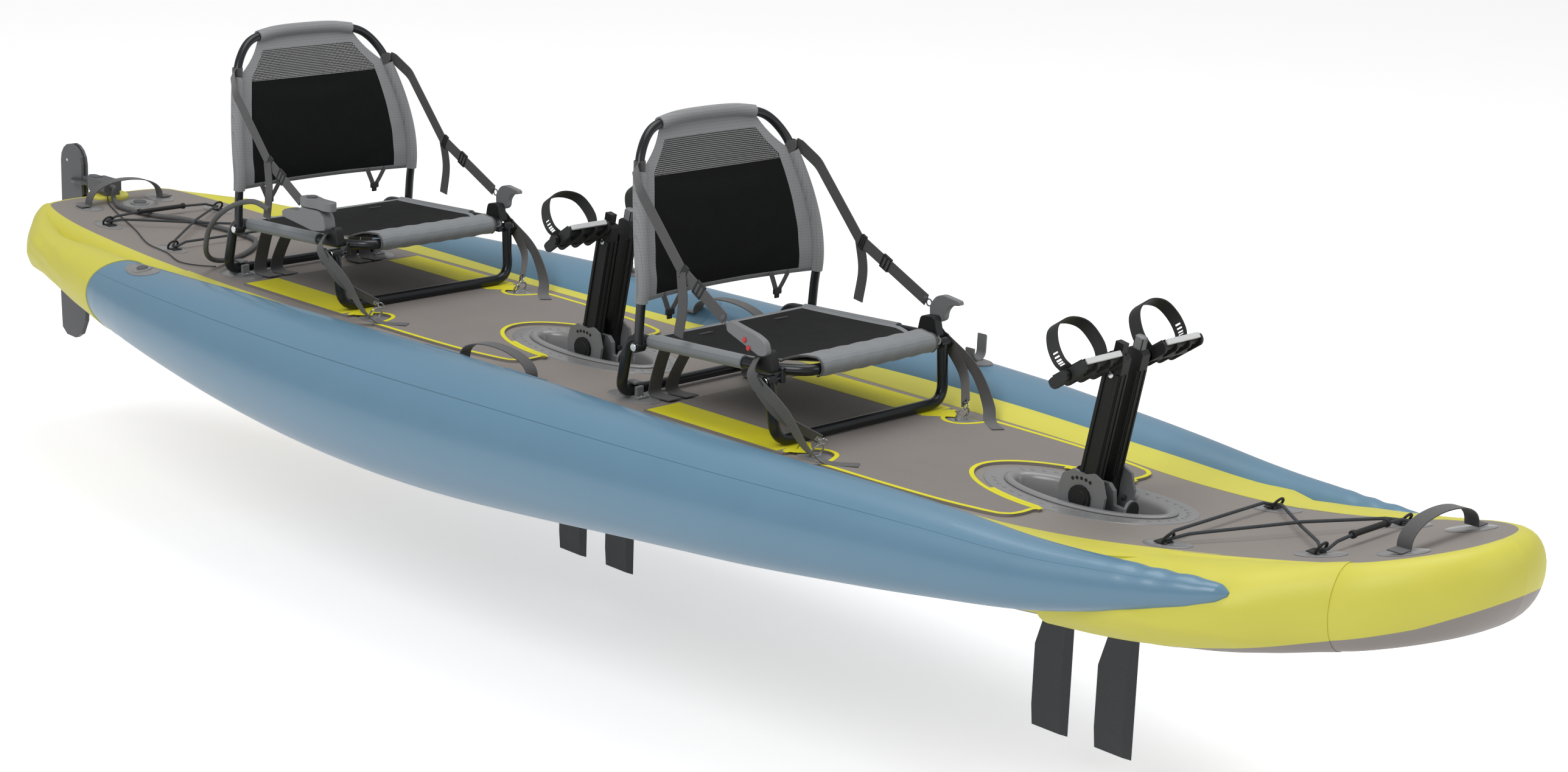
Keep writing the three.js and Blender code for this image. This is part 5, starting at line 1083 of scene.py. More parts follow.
def bungee(name, inner, outer):
    """A shock cord laced crosswise through four loops, its ends held in a toggle."""
    (in_x, in_y), (out_x, out_y) = inner, outer
    away = math.copysign(1, out_x - in_x)
    end = out_y * 0.36
    barrel_x = out_x + away * 10
    height = CORD_RUN + 3
    cross_x = out_x + (in_x - out_x) * out_y / (out_y + in_y)
    points = [over(barrel_x, -end, height), *reversed(loop_turn(out_x, -out_y, away)),
              over(cross_x, 0, CORD_RUN), *loop_turn(in_x, in_y, -away),
              *reversed(loop_turn(in_x, -in_y, -away)), over(cross_x, 0, CORD_RUN + 7.8),
              *loop_turn(out_x, out_y, away), over(barrel_x, end, height)]
    route = rounded(points, [9] * (len(points) - 2), 4)
    made = piece(name + "_shock_cord", cord(route, 3, 10), shock_cord)
    rides(made, "hull", name + "_bungee")
    z = deck_z(barrel_x) + height
    knobs = [cross_bar(barrel_x, -end * 1.1, end * 1.1, z, 5.4, 18)]
    knobs += [cross_bar(barrel_x, s * end * 1.1 - 4, s * end * 1.1 + 4, z, 7.2, 18) for s in SIGNS]
    toggle = rides(piece(name + "_cord_toggle", combined(*knobs), black_nylon), "hull")


# Points of the steering sleeve and the lift line, from the rudder forward: shares of the way to the rear
# seat, of a half width and of a height, and between them the sleeve's way up beside that seat
CONDUIT_SHARES = ((0.035, -0.08, 0.05), (0.075, -0.14, 0.01), (0.124, -0.2, 0), (0.256, -0.11, 0),
                  (0.347, 0.066, 0), (0.476, 0.154, 0), (0.589, 0.174, 0), (0.691, 0.124, 0),
                  (0.789, -0.166, 0), (0.86, -0.58, 0), (0.918, -0.93, 0.17), (0.971, -1.11, 0.47))
CONDUIT_SEAT_SHARES = ((0, 1.13, 0.92), (0.147, 1.14, 1.34), (0.36, 1.13, 1.6), (0.47, 1.105, 1.52))
LINE_SHARES = ((0.053, -0.18), (0.12, -0.27), (0.187, -0.35), (0.374, -0.564), (0.544, -0.79), (0.663, -0.85),
               (0.786, -0.975), (0.844, -0.93), (0.892, -0.817))
RUDDER_END = -2047
CORD_HALF_WIDTH = 242
CORD_SEAT_HEIGHT = 131


def steering_cords():
    seat_x = COCKPITS[1][1]

    def on_deck(share, y, lift):
        return over(lerp(RUDDER_END, seat_x, share), y * CORD_HALF_WIDTH, lift)

    route = [vec(RUDDER_END, -6, 198.5), vec(RUDDER_END + 12, -6, 198.5)]
    route += [on_deck(x, y, 7.2 + z * CORD_SEAT_HEIGHT) for x, y, z in CONDUIT_SHARES]
    for x, y, z in CONDUIT_SEAT_SHARES:
        route.append(vec(seat_x + x * SEAT_DEPTH, -y * CORD_HALF_WIDTH, THICKNESS + z * CORD_SEAT_HEIGHT))
    route = spline(route, 150)
    made = piece("steering_cable_sleeve", cord(route, 6, 14), conduit_sleeve)
    rides(made, "hull", "steering_conduit")
    route = [vec(RUDDER_END, -20, 185), vec(RUDDER_END + 6, -22.5, 185)]
    route = spline([*route, *[on_deck(x, y, 3) for x, y in LINE_SHARES]], 110)
    made = piece("rudder_lift_line", cord(route, 1.5, 8), shock_cord)
    rides(made, "hull", "uphaul_line")


# Seats, in millimetres from each seat's rear corner on the centre plane

SEAT_TUBE = 11.0
BACK_TUBE = 9.5
SEAT_DEPTH = 475
SEAT_HALF = 215
# Height of the cross tube's middle: on the board, a patch, a clamp and a gap
FOOT = THICKNESS + 1.2 + 4 + 0.3 + SEAT_TUBE
# Pins of the front leg and of the backrest, along and up, and how far out their tubes lie
LEG = (432.0, 284.0)
BACK = (68.0, 276.0)
SPACING = 242.0
# Height of the backrest over its pins
CLIMB = 429.0
# Middle across of the outer plates on each front corner
PLATE_Y = 244.8
STRAP = 25


def seat_z(x):
    return 281 + 22 * x / SEAT_DEPTH


# Half of the backrest's tube: shares of 90 mm ahead of its pin, of the spacing and of the climb
BACK_SHARES = ((0, 1, 0), (0.04, 1.005, 0.14), (0.1, 1.01, 0.28), (0.02, 1.005, 0.42),
               (-0.16, 0.965, 0.58), (-0.4, 0.895, 0.74), (-0.6, 0.82, 0.86), (-0.78, 0.66, 0.955),
               (-0.88, 0.42, 0.99), (-0.92, 0, 1))
back_half = [vec(BACK[0] + a * 90, b * SPACING, BACK[1] + c * CLIMB) for a, b, c in BACK_SHARES]
back_line = spline(both_halves(back_half), 160)


def on_post(share):
    """Point of the backrest's port post at a share of its climb."""
    z = BACK[1] + share * CLIMB
    for a, b in zip(back_line, back_line[1:]):
        if a.z <= z <= b.z:
            return a.lerp(b, (z - a.z) / (b.z - a.z))
    return back_line[0]


def on_top(y):
    """Point of the backrest's upper bend at a place across."""
    for a, b in zip(back_line[40:], back_line[41:]):
        if a.y >= y >= b.y:
            return a.lerp(b, (a.y - y) / max(a.y - b.y, 1e-6))
    return back_line[80]


# Outlines of the plates on a seat's front corner, in shares of 100 mm from the leg's pin
PLATE = 100
PLATE_SHARES = {
    "cleat": ((-0.34, 0.46), (-0.36, 0.72), (-0.2, 0.92), (-0.02, 0.98), (0.42, 0.92), (0.44, 0.84),
              (0.2, 0.8), (0.08, 0.66), (0.06, 0.48), (-0.08, 0.4)),
    "clip": ((-1.1, 0.76), (-1.12, 0.9), (-1.02, 0.98), (-0.3, 0.84), (-0.06, 0.74), (0, 0.5), (-0.2, 0.44)),
    "base": ((-1.72, 0.56), (-1.74, 0.68), (-1.6, 0.76), (-1.14, 0.78), (-1.02, 0.9), (-0.36, 0.9),
             (-0.2, 0.78), (-0.14, 0.5), (-0.6, 0.42), (-1.2, 0.5)),
    "post": ((-0.5, 0.14), (-0.42, 0.52), (-0.05, 0.56), (0.06, 0.14)),
}


def corner_plate(key, thickness, y, dx):
    outline = soft_outline([(LEG[0] + a * PLATE, LEG[1] + b * PLATE) for a, b in PLATE_SHARES[key]])
    return slab(outline, thickness, lambda a, b, c: vec(dx + a, y - c, b))


def seat_frame(name, dx):
    """The bent seat tube on its cross tube, with the pins of its leg and back."""
    half = [vec(0, 159, FOOT), vec(0, 226, FOOT), vec(12, SEAT_HALF, seat_z(12)),
            vec(415, SEAT_HALF, seat_z(415)), vec(SEAT_DEPTH, 181, seat_z(SEAT_DEPTH))]
    loop = cord(rounded(both_halves(half), [26, *[42] * 6, 26]), SEAT_TUBE, 20)
    parts = [loop, cross_bar(0, -189, 189, FOOT, SEAT_TUBE * 0.94, 20)]
    steel = []
    for sign in SIGNS:
        parts.append(brick(vec(LEG[0], sign * SEAT_HALF, (LEG[1] + seat_z(LEG[0])) / 2), (22, 11, 30)))
        for x, z in (LEG, BACK):
            steel.append(cross_bar(x, sign * 218, sign * 254, z, 4, 12))
            steel.append(cross_bar(x, sign * 254, sign * 257, z, 8, 20))
    made = piece("seat_tube_frame_" + name, shifted(combined(*parts), dx), coated_tube)
    rides(made, "hull", "seat_frame_" + name)
    rides(piece("seat_bolts_" + name, shifted(combined(*steel), dx), bright_steel), "hull")


def corner_plates(name, dx):
    """Moulded posts and plates on a seat's front corners: a cleat, and a clip or the steering base."""
    x, z = dx + LEG[0], LEG[1]
    posts = [corner_plate("post", 21, s * 229.5, dx) for s in SIGNS]
    rides(piece("corner_posts_" + name, combined(*posts), black_nylon), "hull")
    rides(piece("corner_cleat_" + name, corner_plate("cleat", 14, PLATE_Y, dx), grey_nylon), "hull")
    bolt = cross_bar(x - 8, 251.8, 254, z + 66, 5)
    rides(piece("corner_cleat_bolt_" + name, bolt, bright_steel), "hull")
    if name == "front":
        rides(piece("ladder_clip", corner_plate("clip", 14, -PLATE_Y, dx), grey_nylon), "hull")
        buttons = [cross_bar(x + a, -251, -254.6, z + b, 5) for a, b in ((-60, 69), (-49, 55))]
        rides(piece("clip_buttons", combined(*buttons), red_button), "hull")
    else:
        rides(piece("steering_base", corner_plate("base", 30, -PLATE_Y, dx), grey_nylon), "hull")


def folding_tubes(name, dx):
    """The front leg and the backrest's tube, each with the hubs that turn on its pins."""
    leg = rounded(both_halves([vec(LEG[0], SPACING, LEG[1]), vec(446, 236, 167.34)]), [42, 42])
    for key, pin, path, radius, sides, body, node in (
            ("folding_leg_", LEG, leg, SEAT_TUBE, 20, "leg_", "front_leg_"),
            ("back_tube_", BACK, back_line, BACK_TUBE, 18, "back_", "back_frame_")):
        hubs = [cross_bar(pin[0], s * 230.5, s * 253.5, pin[1], SEAT_TUBE, 24) for s in SIGNS]
        made = piece(key + name, shifted(combined(cord(path, radius, sides), *hubs), dx), coated_tube)
        rides(made, body + name, node + name)


def draped(obj, pinned, cap):
    """Lets a stretched cloth settle between its pinned edges, moving no point further than cap."""
    rest = [v.co.copy() for v in obj.data.vertices]
    held = obj.vertex_groups.new(name="held")
    held.add([i for i in range(len(rest)) if pinned(i)], 1.0, "REPLACE")
    cloth = obj.modifiers.new("cloth", "CLOTH")
    cloth.settings.vertex_group_mass = "held"
    cloth.settings.quality = 5
    cloth.settings.mass = 0.3
    cloth.settings.tension_stiffness = 40
    cloth.settings.compression_stiffness = 40
    cloth.settings.shear_stiffness = 20
    cloth.settings.bending_stiffness = 2
    cloth.settings.effector_weights.gravity = 0.25
    frames = 16
    cloth.point_cache.frame_start = 1
    cloth.point_cache.frame_end = frames
    for f in range(1, frames + 1):
        bpy.context.scene.frame_set(f)
    settled(obj)
    obj.vertex_groups.clear()
    for v, start in zip(obj.data.vertices, rest):
        move = v.co - start
        if move.length > cap * MM:
            v.co = start + move.normalized() * cap * MM
    bpy.context.scene.frame_set(1)


def thickened(obj, thickness, offset=0.0):
    wall_of = obj.modifiers.new("thickness", "SOLIDIFY")
    wall_of.thickness = thickness * MM
    wall_of.offset = offset
    return settled(obj)


# The backrest's cloth reaches from its hem to its upper corners, as shares of the climb
HEM, CORNER = 0.21, 0.78
# Half width of its straight upper edge
TOP_HALF = 130


def back_rows(dx, columns):
    """Rows of the backrest's cloth, hollow between the posts, and then drawn in to the upper bend."""
    edge = 12.0
    rows = []
    for k in range(27):
        share = HEM + (CORNER - HEM) * k / 26
        side = on_post(share)
        t = (share - HEM) / (CORNER - HEM)
        row = []
        for c in columns:
            hollow = 26 * (1 - c ** 2) * math.cos(t * math.pi / 2)
            row.append(vec(dx + side.x - hollow, (side.y - edge * 0.2) * c, side.z))
        rows.append(row)
    last = []
    for c in columns:
        top = on_top(TOP_HALF * c)
        last.append(vec(dx + top.x, top.y, top.z - edge * 0.3))
    corner = rows[-1]
    for k in range(1, 9):
        t = k / 8
        bow = math.sin(t * math.pi) * 10
        row = []
        for c, p, q in zip(columns, corner, last):
            mid = p.lerp(q, t)
            row.append(vec(mid.x, mid.y - math.copysign(bow * abs(c) ** 3, c), mid.z))
        rows.append(row)
    return rows


def back_panel(name, dx):
    """The backrest's cloth: net, with an open band above it and a ripstop border."""
    borders = (1, 0.985, 0.95, 0.9, 0.86, 0.82, 0.8)
    columns = [*borders, *[0.8 - 1.6 * k / 24 for k in range(1, 24)], *[-c for c in reversed(borders)]]
    rows = back_rows(dx, columns)
    n = len(columns)
    total = len(rows) * n
    made = piece("back_panel_" + name, grid(rows), black_net, sharp=180, materials=(ripstop, open_net))
    for i in range(len(rows) - 1):
        for j in range(n - 1):
            face = made.data.polygons[i * (n - 1) + j]
            wide = max(abs(columns[j]), abs(columns[j + 1]))
            if wide > 0.82 or i == 0 or i > 30:
                face.material_index = 1
            elif i > 24:
                face.material_index = 2
    draped(made, lambda i: i % n < 3 or i % n > n - 4 or i < n or i >= total - n, 8)
    rides(thickened(made, 1.2), "back_" + name, "back_fabric_" + name)


def back_sleeves(name, dx):
    """Cloth sleeves round the posts and the upper bend, and an eyelet in front of each post."""
    body = "back_" + name
    sleeves, eyelets = [], []
    for sign in SIGNS:
        post = [on_post(HEM + (CORNER - HEM) * k / 30) for k in range(31)]
        sleeves.append(cord([vec(p.x, sign * p.y, p.z) for p in post], 13.2, 18))
        p = on_post(0.815)
        eyelets.append(bar(vec(dx + p.x + 8, sign * p.y, p.z), vec(dx + p.x + 11, sign * p.y, p.z), 6.5, 18))
    sleeves.append(cord([on_top(TOP_HALF - 2 * TOP_HALF * k / 20) for k in range(21)], 13.0, 18))
    rides(piece("back_sleeves_" + name, shifted(combined(*sleeves), dx), ripstop), body)
    rides(piece("back_grommets_" + name, combined(*eyelets), bright_steel), body)


def hem_straps(name, dx):
    """Short webbing straps in a V under the back panel's hem, each pair joined by a small buckle."""
    width = 11
    foot = on_post(HEM + 0.005)
    webs, buckles = [], []
    for sign in SIGNS:
        x, y, top = dx + foot.x - 12, sign * 150, foot.z + 5
        for side in SIGNS:
            route = [vec(x - a, y + side * b, top - c) for a, b, c in ((0, 26, 0), (3, 13, 24), (6, 4, 40))]
            line, across = dense(route, vec(0, 1, 0))
            webs.append(band(line, width, across, 1.8))
        buckles.append(brick(vec(x - 6, y, top - 42), (7, 2 * width, 13), lip=1.6))
        buckles.append(brick(vec(x - 7, y, top - 52), (4, 13, 10), lip=1.2))
    rides(piece("hem_straps_" + name, combined(*webs), webbing), "back_" + name)
    rides(piece("hem_buckles_" + name, combined(*buckles), black_nylon), "back_" + name)


# Where the seat's cloth begins and ends along the seat
CLOTH_REAR, CLOTH_FRONT = 76, 464


def seat_panel(name, dx):
    """The seat's net, hollow between its tubes, with ripstop round its edges."""
    edge = 10.0
    steps = 34
    borders = (1, 0.98, 0.94, 0.9)
    columns = [*borders, *[0.9 - 1.8 * k / 26 for k in range(1, 26)], *[-c for c in reversed(borders)]]
    rows = []
    for i in range(steps + 1):
        share = i / steps
        x = lerp(CLOTH_REAR, CLOTH_FRONT, share)
        half = lerp(206, 135, (max(0.0, x - 345) / 119) ** 1.2)
        row = []
        for c in columns:
            sag = 15 * (1 - c ** 2) * math.sin(share * math.pi)
            row.append(vec(dx + x, half * c, seat_z(x) + edge - sag))
        rows.append(row)
    n = len(columns)
    total = len(rows) * n
    made = piece("seat_panel_" + name, grid(rows), seat_net, sharp=180, materials=(roll_cloth,))
    for i in range(steps):
        for j in range(n - 1):
            if i > 29 or i < 1 or max(abs(columns[j]), abs(columns[j + 1])) > 0.95:
                made.data.polygons[i * (n - 1) + j].material_index = 1
    draped(made, lambda i: i % n < 2 or i % n > n - 3 or i < n * 2 or i >= total - n * 2, 9)
    rides(thickened(made, 1.4, -1), "hull", "seat_sling_" + name)
    sleeves = []
    for sign in SIGNS:
        line = [vec(x, sign * SEAT_HALF, seat_z(x)) for x in range(CLOTH_REAR, 346, 9)]
        sleeves.append(cord(line, 14.0, 18))
    rides(piece("seat_side_sleeves_" + name, shifted(combined(*sleeves), dx), roll_cloth), "hull")


def front_roll(name, dx):
    """Cloth rolled round the seat's front tube, with a webbing hem along each edge."""
    front = seat_z(SEAT_DEPTH)
    start = 402
    section = [(start, seat_z(start) + 8), (412, seat_z(412) + 14), (424, seat_z(424) + 18.5),
               (438, front + 20.6), (452, front + 21.8)]
    for k in range(15):
        a = math.radians(98 - k * 12)
        section.append((470 + 20 * math.cos(a), front + 3 + 18.6 * math.sin(a)))
    rings = []
    for k in range(33):
        side = 1 - k / 16
        ring = []
        for i, (a, b) in enumerate(section):
            half = lerp(186, 160, min(1.0, (a - start) / 60))
            sag = 1.2 * (1 - side ** 2) * math.sin(min(1.0, i / 8) * math.pi / 2)
            ring.append(vec(dx + a, half * side, b - sag + 0.8 * math.sin(side * 21 + i * 0.5)))
        rings.append(ring)
    roll = piece("seat_front_roll_" + name, grid(rings), roll_cloth, sharp=180)
    rides(thickened(roll, 1.6), "hull")
    hems = [cord(ring, 2.2, 8) for ring in (rings[0], rings[-1])]
    rides(piece("seat_roll_hems_" + name, combined(*hems), webbing), "hull")


def hold_down_straps(name, dx):
    """Webbing from the seat's rear edge down to the deck, two on each side."""
    across = vec(0, 1, 0)
    straps = []
    for s in SIGNS:
        for y, top, foot in ((150, 66, 21), (106, 96, 24)):
            route = [vec(top + 22, s * y, seat_z(76) + 9), vec(top, s * y, seat_z(76)), vec(foot, s * y, 174),
                     vec(foot + 1, s * y, 156.6), vec(foot + 59, s * y, 155.4)]
            line, _ = dense(route, across)
            straps.append(band(line, 34, across, 2))
    rides(piece("hold_down_straps_" + name, shifted(combined(*straps), dx), webbing), "hull")


def ladder_buckle(centre, along, across, width=27, length=25):
    """A moulded strap buckle: two side rails and three bars."""
    axes = (along, across, along.cross(across).normalized())
    rails = [brick(centre + across * (s * width / 2), (length, 4, 6), axes) for s in SIGNS]
    return [*rails, *[brick(centre + along * (t * length), (4.2, width, 5), axes) for t in (-0.42, 0, 0.42)]]


def wire_hook(centre, along, across):
    """A snap hook at a strap's end: a ring of wire on its body."""
    axes = (along, across, along.cross(across).normalized())
    body = brick(centre - along * 4, (9, 14, 6), axes)
    return [body, ring_of(centre + along * 8, 7, 1.5, along, across, 20)]


def by_seat(rows, sign, dx):
    """Points beside a seat, from shares of its depth, its spacing and the backrest's height."""
    return [vec(dx + x * SEAT_DEPTH, sign * y * SPACING, THICKNESS + z * 555) for x, y, z in rows]


def recline_strap(name, side, sign, dx):
    """Strap from the backrest's post to the seat's front corner."""
    label = f"{side}_{name}"
    ahead, up = (-47.5, 78) if side == "port" else (-125.5, 95)
    end = vec(dx + LEG[0] + ahead, sign * SPACING, LEG[1] + up)
    route = [*by_seat(((0.063, 0.94, 0.8505), (0.14, 1.02, 0.79), (0.4, 1.02, 0.544)), sign, dx), end]
    top, lap = route[0], route[2]
    along = (end - lap).normalized()
    across = vec(-along.z, 0, along.x).normalized()
    post = on_post(0.8065)
    start = vec(dx + post.x + 3, sign * (post.y + 9), 627)
    main = band([start, *rounded(route, [60, 30], 6)], STRAP, across, 2)
    ring = []
    for k in range(25):
        a = 2 * math.pi * k / 24
        ring.append(vec(dx + post.x + 11 * math.cos(a), sign * (post.y + 11 * math.sin(a)), post.z))
    rides(piece("recline_loop_" + label, band(ring, STRAP, vec(0, 0, 1), 2), webbing), "back_" + name)
    tail = by_seat(((0.4, 1.025, 0.54), (0.42, 1.037, 0.43), (0.4, 1.037, 0.31)), sign, dx)
    tail, _ = dense(tail, vec(1, 0, 0))
    loose = band(tail, STRAP, vec(1, 0, 0), 2)
    made = piece("recline_webbing_" + label, combined(main, loose), webbing)
    plastic = [*ladder_buckle(lap.lerp(end, 0.4), along, across),
               *ladder_buckle(lap.lerp(end, 0.05), along, across, length=14)]
    buckle = piece("recline_buckle_" + label, combined(*plastic), black_nylon)
    hook = piece("recline_hook_" + label, combined(*wire_hook(end, along, across)), dark_nylon)
    for part in (made, buckle, hook):
        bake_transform(part)
    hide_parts("recline_strap_" + label)


def tie_strap(name, side, sign, dx):
    """Strap that ties the seat's front corner to its ring on the deck, with a loose end."""
    label = f"{side}_{name}"
    flat = vec(0.75, 0, 0.6)

    def squared(down):
        return (flat - down * down.dot(flat)).normalized()

    ring_top = 15 * 0.8 + 17 * math.cos(RING_LEAN)
    low = vec(dx + RING_X + 15 * math.sin(RING_LEAN), sign * RING_Y, THICKNESS + ring_top + 0.3 + 10)
    shares = ((0.835, 1.007, 0.306), (0.85, 1.09, 0.265), (0.93, 1.1, 0.2), (1.01, 1.06, 0.14))
    route = [*by_seat(shares, sign, dx), low]
    line, _ = dense(route, flat)
    main = band(line, STRAP, flat, 2)
    shares = ((0.87, 1.1, 0.25), (1.05, 1.1, 0.16), (1.16, 1.05, 0.05), (1.21, 0.96, 0.013))
    tail = [*by_seat(shares, sign, dx), vec(dx + 1.32 * SEAT_DEPTH, sign * 0.81 * SPACING, 156.6)]
    on_edge, on_deck = vec(0.8, 0, 0.6), vec(0.5, 0.8 * sign, 0)
    line, turns = dense(tail, [on_edge, on_edge, vec(0.7, 0.3 * sign, 0.3), on_deck, on_deck])
    made = piece("tie_webbing_" + label, combined(main, band(line, STRAP, turns, 2)), webbing)
    rides(made, "hull", "tie_strap_" + label)
    down = (route[2] - route[1]).normalized()
    buckle = ladder_buckle(route[1].lerp(route[2], 0.5), down, squared(down))
    rides(piece("tie_buckle_" + label, combined(*buckle), black_nylon), "hull")
    down = (low - route[-2]).normalized()
    rides(piece("tie_hook_" + label, combined(*wire_hook(low, down, squared(down))), bright_steel), "hull")


# Outline of the steering lever, in shares of 100 mm round its pivot
LEVER_SHARES = ((-0.3, -0.1), (-0.22, -0.17), (0, -0.2), (0.3, -0.13), (0.66, -0.17), (0.78, -0.1), (0.8, 0.04),
                (0.7, 0.14), (0.3, 0.12), (0, 0.2), (-0.22, 0.17), (-0.3, 0.08))


def steering_lever():
    x, y, z = COCKPITS[1][1] + LEG[0] - 80, -PLATE_Y, LEG[1] + 92
    outline = soft_outline([(a * 100, b * 100) for a, b in LEVER_SHARES], 5, 12)
    lever = slab(outline, 20, lambda a, b, c: vec(x + a, y + b, z + 10.45 + c))
    made = piece("lobed_steering_lever", lever, grey_nylon)
    rides(made, "steering_lever", "steering_handle")
    cap = bar(vec(x, y, z + 20.5), vec(x, y, z + 24), 12, 24)
    rides(piece("lever_cap", cap, dark_nylon), "steering_lever")


def seats():
    for name, dx in COCKPITS:
        for make in (seat_frame, corner_plates, folding_tubes, back_panel, back_sleeves, hem_straps,
                     seat_panel, front_roll, hold_down_straps):
            make(name, dx)
        for side, sign in SIDES:
            recline_strap(name, side, sign, dx)
            tie_strap(name, side, sign, dx)
    steering_lever()


# Drives

# How far a drive's axle lies ahead of its well's middle, and its height
DRIVE_AHEAD = 15
AXLE_Z = 164
# From the axle to the pedal's spindle, and the lean of the arms and the tilt of the pedals at rest
ARM = 262
LEAN = 0.19
PITCH = -0.6
PEDAL_WIDTH, PEDAL_LENGTH, PEDAL_DEPTH = 112.0, 92.0, 24.0


def rib_row(name, material, count, spacing, size, start):
    """A row of ribs, laid out by geometry nodes along one direction."""
    tree = bpy.data.node_groups.new(name + "_nodes", "GeometryNodeTree")
    for key, kind in (("Count", "Int"), ("Start", "Vector"), ("Step", "Vector"), ("Size", "Vector")):
        tree.interface.new_socket(key, in_out="INPUT", socket_type="NodeSocket" + kind)
    tree.interface.new_socket("Geometry", in_out="OUTPUT", socket_type="NodeSocketGeometry")
    given = put(tree, "NodeGroupInput").outputs
    line = put(tree, "GeometryNodeMeshLine", None,
               {"Count": given["Count"], "Start Location": given["Start"], "Offset": given["Step"]})
    rib = put(tree, "GeometryNodeMeshCube", None, {"Size": given["Size"]})
    spread = put(tree, "GeometryNodeInstanceOnPoints", None,
                 {"Points": line.outputs[0], "Instance": rib.outputs[0]})
    real = put(tree, "GeometryNodeRealizeInstances", None, {"Geometry": spread.outputs[0]})
    skin = put(tree, "GeometryNodeSetMaterial", {"Material": material}, {"Geometry": real.outputs[0]})
    put(tree, "NodeGroupOutput", None, {"Geometry": skin.outputs[0]})
    made = linked(bpy.data.objects.new(name, bpy.data.meshes.new(name)))
    rows = made.modifiers.new("ribs", "NODES")
    rows.node_group = tree
    keys = {s.name: s.identifier for s in tree.interface.items_tree if s.in_out == "INPUT"}
    rows[keys["Count"]] = count
    for key, value in (("Start", start), ("Step", spacing), ("Size", size)):
        rows[keys[key]] = tuple(c * MM for c in value)
    return settled(made)


PEDAL_SHARES = ((-0.5, -0.2), (-0.42, -0.5), (0.42, -0.5), (0.5, -0.2), (0.5, 0.3), (0.4, 0.42), (-0.4, 0.42),
                (-0.5, 0.3))
# The toe strap's arch over the pedal: shares of the pedal's width and of the arch's height
TOE_SHARES = ((0.44, 0.11), (0.53, 0.28), (0.52, 0.6), (0.36, 0.9), (0, 1), (-0.36, 0.84), (-0.5, 0.42),
              (-0.44, 0.11))


def pedal(name, side, sign, dx):
    """A pedal with its ribs and reflector, and a slotted toe strap."""
    label, body = f"{side}_{name}", f"foot_{side}_{name}"
    width, length = PEDAL_WIDTH, PEDAL_LENGTH
    place = (dx + ARM * math.sin(LEAN), sign * (56 + width / 2), AXLE_Z + ARM * math.cos(LEAN))
    shape = soft_outline([(a * length, b * PEDAL_DEPTH) for a, b in PEDAL_SHARES], 3, 4)
    parts = [slab(shape, 7, lambda a, b, c, y=y: vec(a, y + c, b)) for y in (-52.5, -18, 18, 52.5)]
    parts.append(cross_bar(0, -width / 2, width / 2, 0, 12, 22))
    parts.append(brick(vec(0, 0, -1), (length * 0.86, width * 0.94, 6)))
    parts += [cross_bar(s * 30, 1 - width / 2, width / 2 - 1, 1, 7) for s in SIGNS]
    made = piece("pedal_body_" + label, turned(combined(*parts), PITCH, *place), black_nylon)
    rides(made, body, "pedal_" + label)
    rib = (length * 0.8, 3.2, 5)
    ribs = rib_row("pedal_ribs_" + label, black_nylon, 11, (0, 9.4, 0), rib, (0, -47, 10.6))
    ribs.data.transform(Matrix.Translation([c * MM for c in place]) @ Matrix.Rotation(PITCH, 4, "Y"))
    rides(ribs, body)
    glow = turned(brick(vec(length / 2 - 0.5, 0, 5), (5, width * 0.84, 11)), PITCH, *place)
    rides(piece("pedal_reflector_" + label, glow, reflector), body)
    arch = spline([vec(0, sign * y * width, z * 96) for y, z in TOE_SHARES], 60)
    strap = turned(band(arch, 28, vec(1, 0, 0), 2.6), PITCH, *place)
    slots = []
    for k in range(5, 15, 2):
        along = (arch[k + 1] - arch[k]).normalized()
        slots.append(brick(arch[k], (14, 3.4, 9), (vec(1, 0, 0), along, along.cross(vec(1, 0, 0))), 0.5))
    cutter = piece("slots", turned(combined(*slots), PITCH, *place), rubber)
    rides(carved(piece("toe_strap_" + label, strap, rubber), cutter), body)


def edged(node, material, width, sharp=35):
    """Breaks a CAD piece's edges and gives it its finish."""
    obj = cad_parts[node]
    obj.data.materials.clear()
    obj.data.materials.append(material)
    soft = obj.modifiers.new("broken_edges", "BEVEL")
    soft.width = width * MM
    soft.segments = 2
    soft.limit_method = "ANGLE"
    soft.angle_limit = math.radians(sharp)


def arm(name, side, sign, dx):
    """A pedal arm's rails, grooves and bolts on the CAD's own arm."""
    label, body = f"{side}_{name}", f"arm_{side}_{name}"
    edged("pedal_arm_" + label, black_nylon, 0.8)
    middle, height = 142, 206
    rails = []
    for along in (-14.5, 14.5):
        rails += [brick(vec(along, sign * across, middle), (7, 3.2, height)) for across in (14.4, 39.6)]
    rails += [brick(vec(19.8, sign * (27 + s * 6), middle), (2.4, 3, height), lip=0.6) for s in SIGNS]
    rides(piece("arm_rails_" + label, turned(combined(*rails), LEAN, dx, 0, AXLE_Z), black_nylon), body)
    bolts = [cross_bar(0, sign * 38, sign * 40.8, h, 6, 18) for h in (38, 240)]
    rides(piece("arm_bolts_" + label, turned(combined(*bolts), LEAN, dx, 0, AXLE_Z), bright_steel), body)


